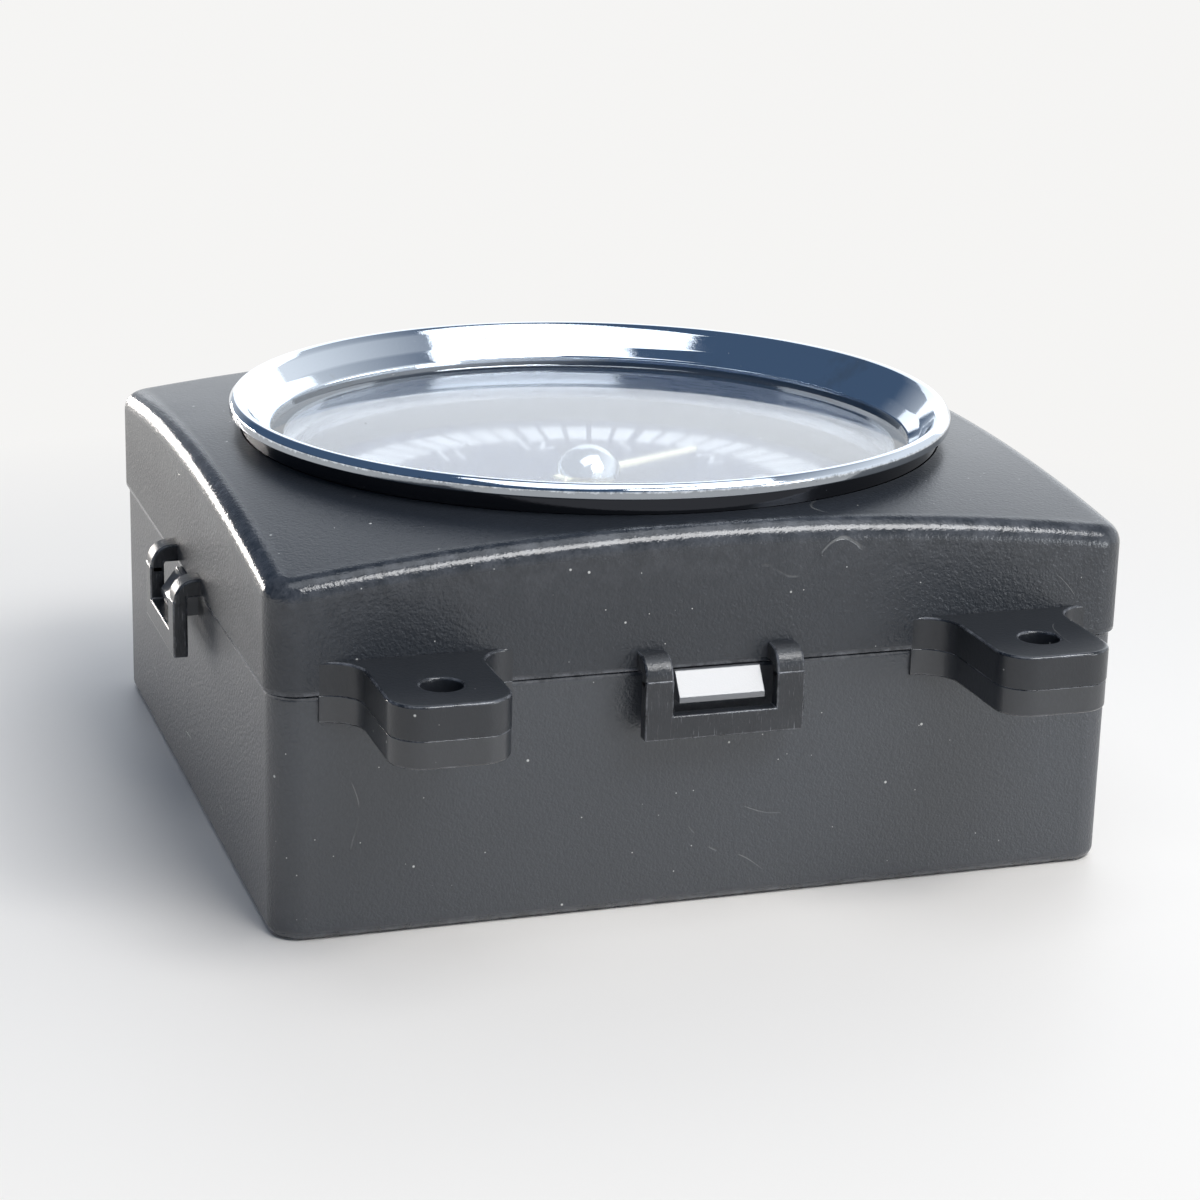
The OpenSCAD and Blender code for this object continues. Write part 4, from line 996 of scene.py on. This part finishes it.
class CLOCK_OT_finishes(bpy.types.Operator):
    """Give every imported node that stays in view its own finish"""
    bl_idname = "clock.finishes"
    bl_label = "Finishes"

    def execute(self, context):
        dial = context.scene.clock_dial
        dress("lens", glass("lens glass"))
        dress("hand_cap", chrome("cap chrome", False))
        dress("dial", plain("dial navy", tuple(dial.colour), 0.42, size=0.4 * MM))
        groups = (
            (plain("hand cream", (0.86, 0.83, 0.62), 0.45, spread=0.05), ("minute_hand", "hour_hand")),
            (plain("gasket rubber", (0.015, 0.015, 0.016), 0.7), ("lens_gasket",)),
            (ring_silver("silver ring"), ("dial_ring",)),
            (plain("clear guide", (0.8, 0.86, 0.9), 0.12), ("light_guide",)),
            (plain("white moulding", (0.78, 0.78, 0.75), 0.45, spread=0.05), ("dial_carrier",)),
            (plain("zinc screw", (0.62, 0.63, 0.66), 0.3, 1.0, 0.5 * MM),
             ("carrier_screws", "stator_screws", "movement_screws", "board_screws")),
            (plain("ground steel", (0.55, 0.56, 0.58), 0.2, 1.0, 0.3 * MM),
             ("centre_arbor", "minute_post", "rotor_shaft")),
            (plain("wheel brass", (0.78, 0.57, 0.24), 0.25, 1.0, 0.6 * MM),
             ("centre_wheel", "cannon_pinion", "hour_wheel", "minute_wheel", "intermediate_wheel",
              "movement_pillars")),
            (plain("sintered magnet", (0.16, 0.16, 0.17), 0.45, 0.7, 0.2 * MM, 0.01 * MM), ("rotor_magnet",)),
            (plain("lamination steel", (0.42, 0.43, 0.45), 0.38, 1.0, 0.8 * MM), ("stator", "coil_core")),
            (plain("bobbin plastic", (0.72, 0.62, 0.42), 0.3), ("coil_bobbin",)),
            (wound("copper wire", (0.72, 0.3, 0.12), 0.12 * MM), ("coil_winding",)),
            (plain("tinned contact", (0.78, 0.72, 0.5), 0.25, 1.0, 0.4 * MM),
             ("coil_terminals", "connector_pins")),
            (plain("stamped plate", (0.66, 0.68, 0.7), 0.3, 1.0, 1.0 * MM),
             ("movement_front_plate", "movement_back_plate")),
            (laminate("solder mask"), ("circuit_board",)),
            (plain("chip moulding", (0.025, 0.025, 0.028), 0.5), ("controller_chip", "chip_resistors")),
            (plain("drawn can", (0.72, 0.73, 0.74), 0.22, 1.0), ("quartz_crystal",)),
            (plain("capacitor sleeve", (0.03, 0.05, 0.13), 0.3), ("capacitor",)),
            (plain("lamp resin", (0.86, 0.8, 0.58), 0.15), ("dial_leds",)),
            (plain("socket nylon", (0.78, 0.75, 0.66), 0.42, spread=0.06), ("connector_socket",)),
        )
        for mat, names in groups:
            for name in names:
                dress(name, mat)
        return {"FINISHED"}


def pale_floor(scene):
    """Floor that takes the shadow near the clock and is plain white further out"""
    bm = bmesh.new()
    bmesh.ops.create_grid(bm, x_segments=1, y_segments=1, size=3.0)
    bmesh.ops.translate(bm, vec=(0, 0, -0.02 * MM), verts=bm.verts)
    mesh = bpy.data.meshes.new("floor")
    bm.to_mesh(mesh)
    bm.free()
    floor = bpy.data.objects.new("floor", mesh)
    scene.collection.objects.link(floor)
    mat, tree, shader, place = nodes_of("pale floor")
    base = blend_colour(tree, noise(tree, place, 0.2, 2.0), (0.9, 0.86, 0.81), (0.92, 0.88, 0.83))
    tree.links.new(base, shader.inputs["Base Color"])
    shader.inputs["Roughness"].default_value = 0.5
    far = tree.nodes.new("ShaderNodeVectorMath")
    far.operation = "LENGTH"
    tree.links.new(place, far.inputs[0])
    path = tree.nodes.new("ShaderNodeLightPath")
    seen = plus(tree, path.outputs["Is Camera Ray"], path.outputs["Is Glossy Ray"])
    seen = least(tree, plus(tree, seen, path.outputs["Is Transmission Ray"]), 1.0)
    share = times(tree, ramp(tree, far.outputs["Value"], 60 * MM, 150 * MM), seen)
    glow = tree.nodes.new("ShaderNodeEmission")
    glow.inputs["Color"].default_value = (0.915, 0.91, 0.9, 1.0)
    mix = tree.nodes.new("ShaderNodeMixShader")
    tree.links.new(share, mix.inputs["Fac"])
    tree.links.new(shader.outputs["BSDF"], mix.inputs[1])
    tree.links.new(glow.outputs["Emission"], mix.inputs[2])
    tree.links.new(mix.outputs["Shader"], tree.nodes["Material Output"].inputs["Surface"])
    mesh.materials.append(mat)


def studio_world(scene):
    """World that is pale below and to the right, and a dim blue above and to the left"""
    world = bpy.data.worlds.new("studio")
    world.use_nodes = True
    scene.world = world
    tree = world.node_tree
    lit = tree.nodes["Background"]
    way = tree.nodes.new("ShaderNodeTexCoord")
    rise = tree.nodes.new("ShaderNodeSeparateXYZ")
    tree.links.new(way.outputs["Object"], rise.inputs["Vector"])
    lean = minus(tree, rise.outputs["Z"], times(tree, rise.outputs["X"], 0.8))
    tint = blend_colour(tree, ramp(tree, lean, -0.25, 0.6), (0.86, 0.9, 0.95), (0.06, 0.1, 0.17))
    tree.links.new(tint, lit.inputs["Color"])
    lit.inputs["Strength"].default_value = 0.95


def studio_lamps(scene, studio):
    """Soft lights, each with its power, place, size and colour; the one behind faces straight forward"""
    lamps = (("key", studio.key, (0.19, -0.36, 0.5), (0.42, 0.2), (1.0, 1.0, 1.0)),
             ("top", studio.top, (0.03, -0.14, 0.74), (0.8, 0.4), (0.94, 0.97, 1.0)),
             ("back", studio.back, (0.69, 1.0, 0.57), (1.42, 1.1), (0.93, 0.965, 1.0)),
             ("side", studio.side, (0.36, -0.38, 0.07), (0.16, 0.12), (0.93, 0.97, 1.0)),
             ("left", studio.left, (-0.38, 0.92, 0.05), (0.5, 0.08), (1.0, 0.94, 0.89)))
    for name, power, spot, size, colour in lamps:
        data = bpy.data.lights.new(name, "AREA")
        data.shape = "RECTANGLE"
        data.size, data.size_y = size
        data.energy = power
        data.color = colour
        lamp = bpy.data.objects.new(name, data)
        lamp.location = spot
        aim = Vector((0, -1, 0)) if name == "back" else Vector((0, 0, 30 * MM)) - Vector(spot)
        lamp.rotation_euler = aim.to_track_quat("-Z", "Y").to_euler()
        scene.collection.objects.link(lamp)


def studio_camera(scene, studio):
    """Camera that sees the clock as the photograph does"""
    data = bpy.data.cameras.new("camera")
    data.sensor_fit = "HORIZONTAL"
    data.sensor_width = 36.0
    data.lens = studio.lens
    data.clip_start = 0.01
    camera = bpy.data.objects.new("camera", data)
    back = -CAMERA_LOOK.normalized()
    side = CAMERA_UP.normalized().cross(back).normalized()
    turn = Matrix((side, back.cross(side), back)).transposed().to_4x4()
    camera.matrix_world = Matrix.Translation(CAMERA_AT) @ turn
    scene.collection.objects.link(camera)
    scene.camera = camera


class CLOCK_OT_studio(bpy.types.Operator):
    """Set the pale floor, soft lights, world and camera"""
    bl_idname = "clock.studio"
    bl_label = "Studio"

    def execute(self, context):
        scene = context.scene
        studio = scene.clock_studio
        pale_floor(scene)
        studio_world(scene)
        studio_lamps(scene, studio)
        studio_camera(scene, studio)
        scene.view_settings.view_transform = "Standard"
        return {"FINISHED"}


class CLOCK_PT_panel(bpy.types.Panel):
    """Panel that lists the sizes and the building steps"""
    bl_label = "Dashboard clock"
    bl_idname = "CLOCK_PT_panel"
    bl_space_type = "VIEW_3D"
    bl_region_type = "UI"
    bl_category = "Clock"

    def draw(self, context):
        for group in (context.scene.clock_case, context.scene.clock_dial, context.scene.clock_studio):
            for key in group.__annotations__:
                self.layout.prop(group, key)
        for step in STEPS:
            self.layout.operator(step.bl_idname)


GROUPS = (CASE_sizes, DIAL_sizes, STUDIO_sizes)
STEPS = (CLOCK_OT_studio, CLOCK_OT_shells, CLOCK_OT_bezel, CLOCK_OT_dial_print, CLOCK_OT_finishes)


def register():
    """Registers the classes and hangs their sizes on the scene"""
    for cls in GROUPS + STEPS + (CLOCK_PT_panel,):
        bpy.utils.register_class(cls)
    bpy.types.Scene.clock_case = bpy.props.PointerProperty(type=CASE_sizes)
    bpy.types.Scene.clock_dial = bpy.props.PointerProperty(type=DIAL_sizes)
    bpy.types.Scene.clock_studio = bpy.props.PointerProperty(type=STUDIO_sizes)


def unregister():
    """Takes the sizes off the scene and unregisters the classes"""
    for name in ("clock_case", "clock_dial", "clock_studio"):
        delattr(bpy.types.Scene, name)
    for cls in reversed(GROUPS + STEPS + (CLOCK_PT_panel,)):
        bpy.utils.unregister_class(cls)


def main():
    """Builds everything in order"""
    register()
    for step in STEPS:
        group, name = step.bl_idname.split(".")
        getattr(getattr(bpy.ops, group), name)()


if __name__ == "__main__":
    main()
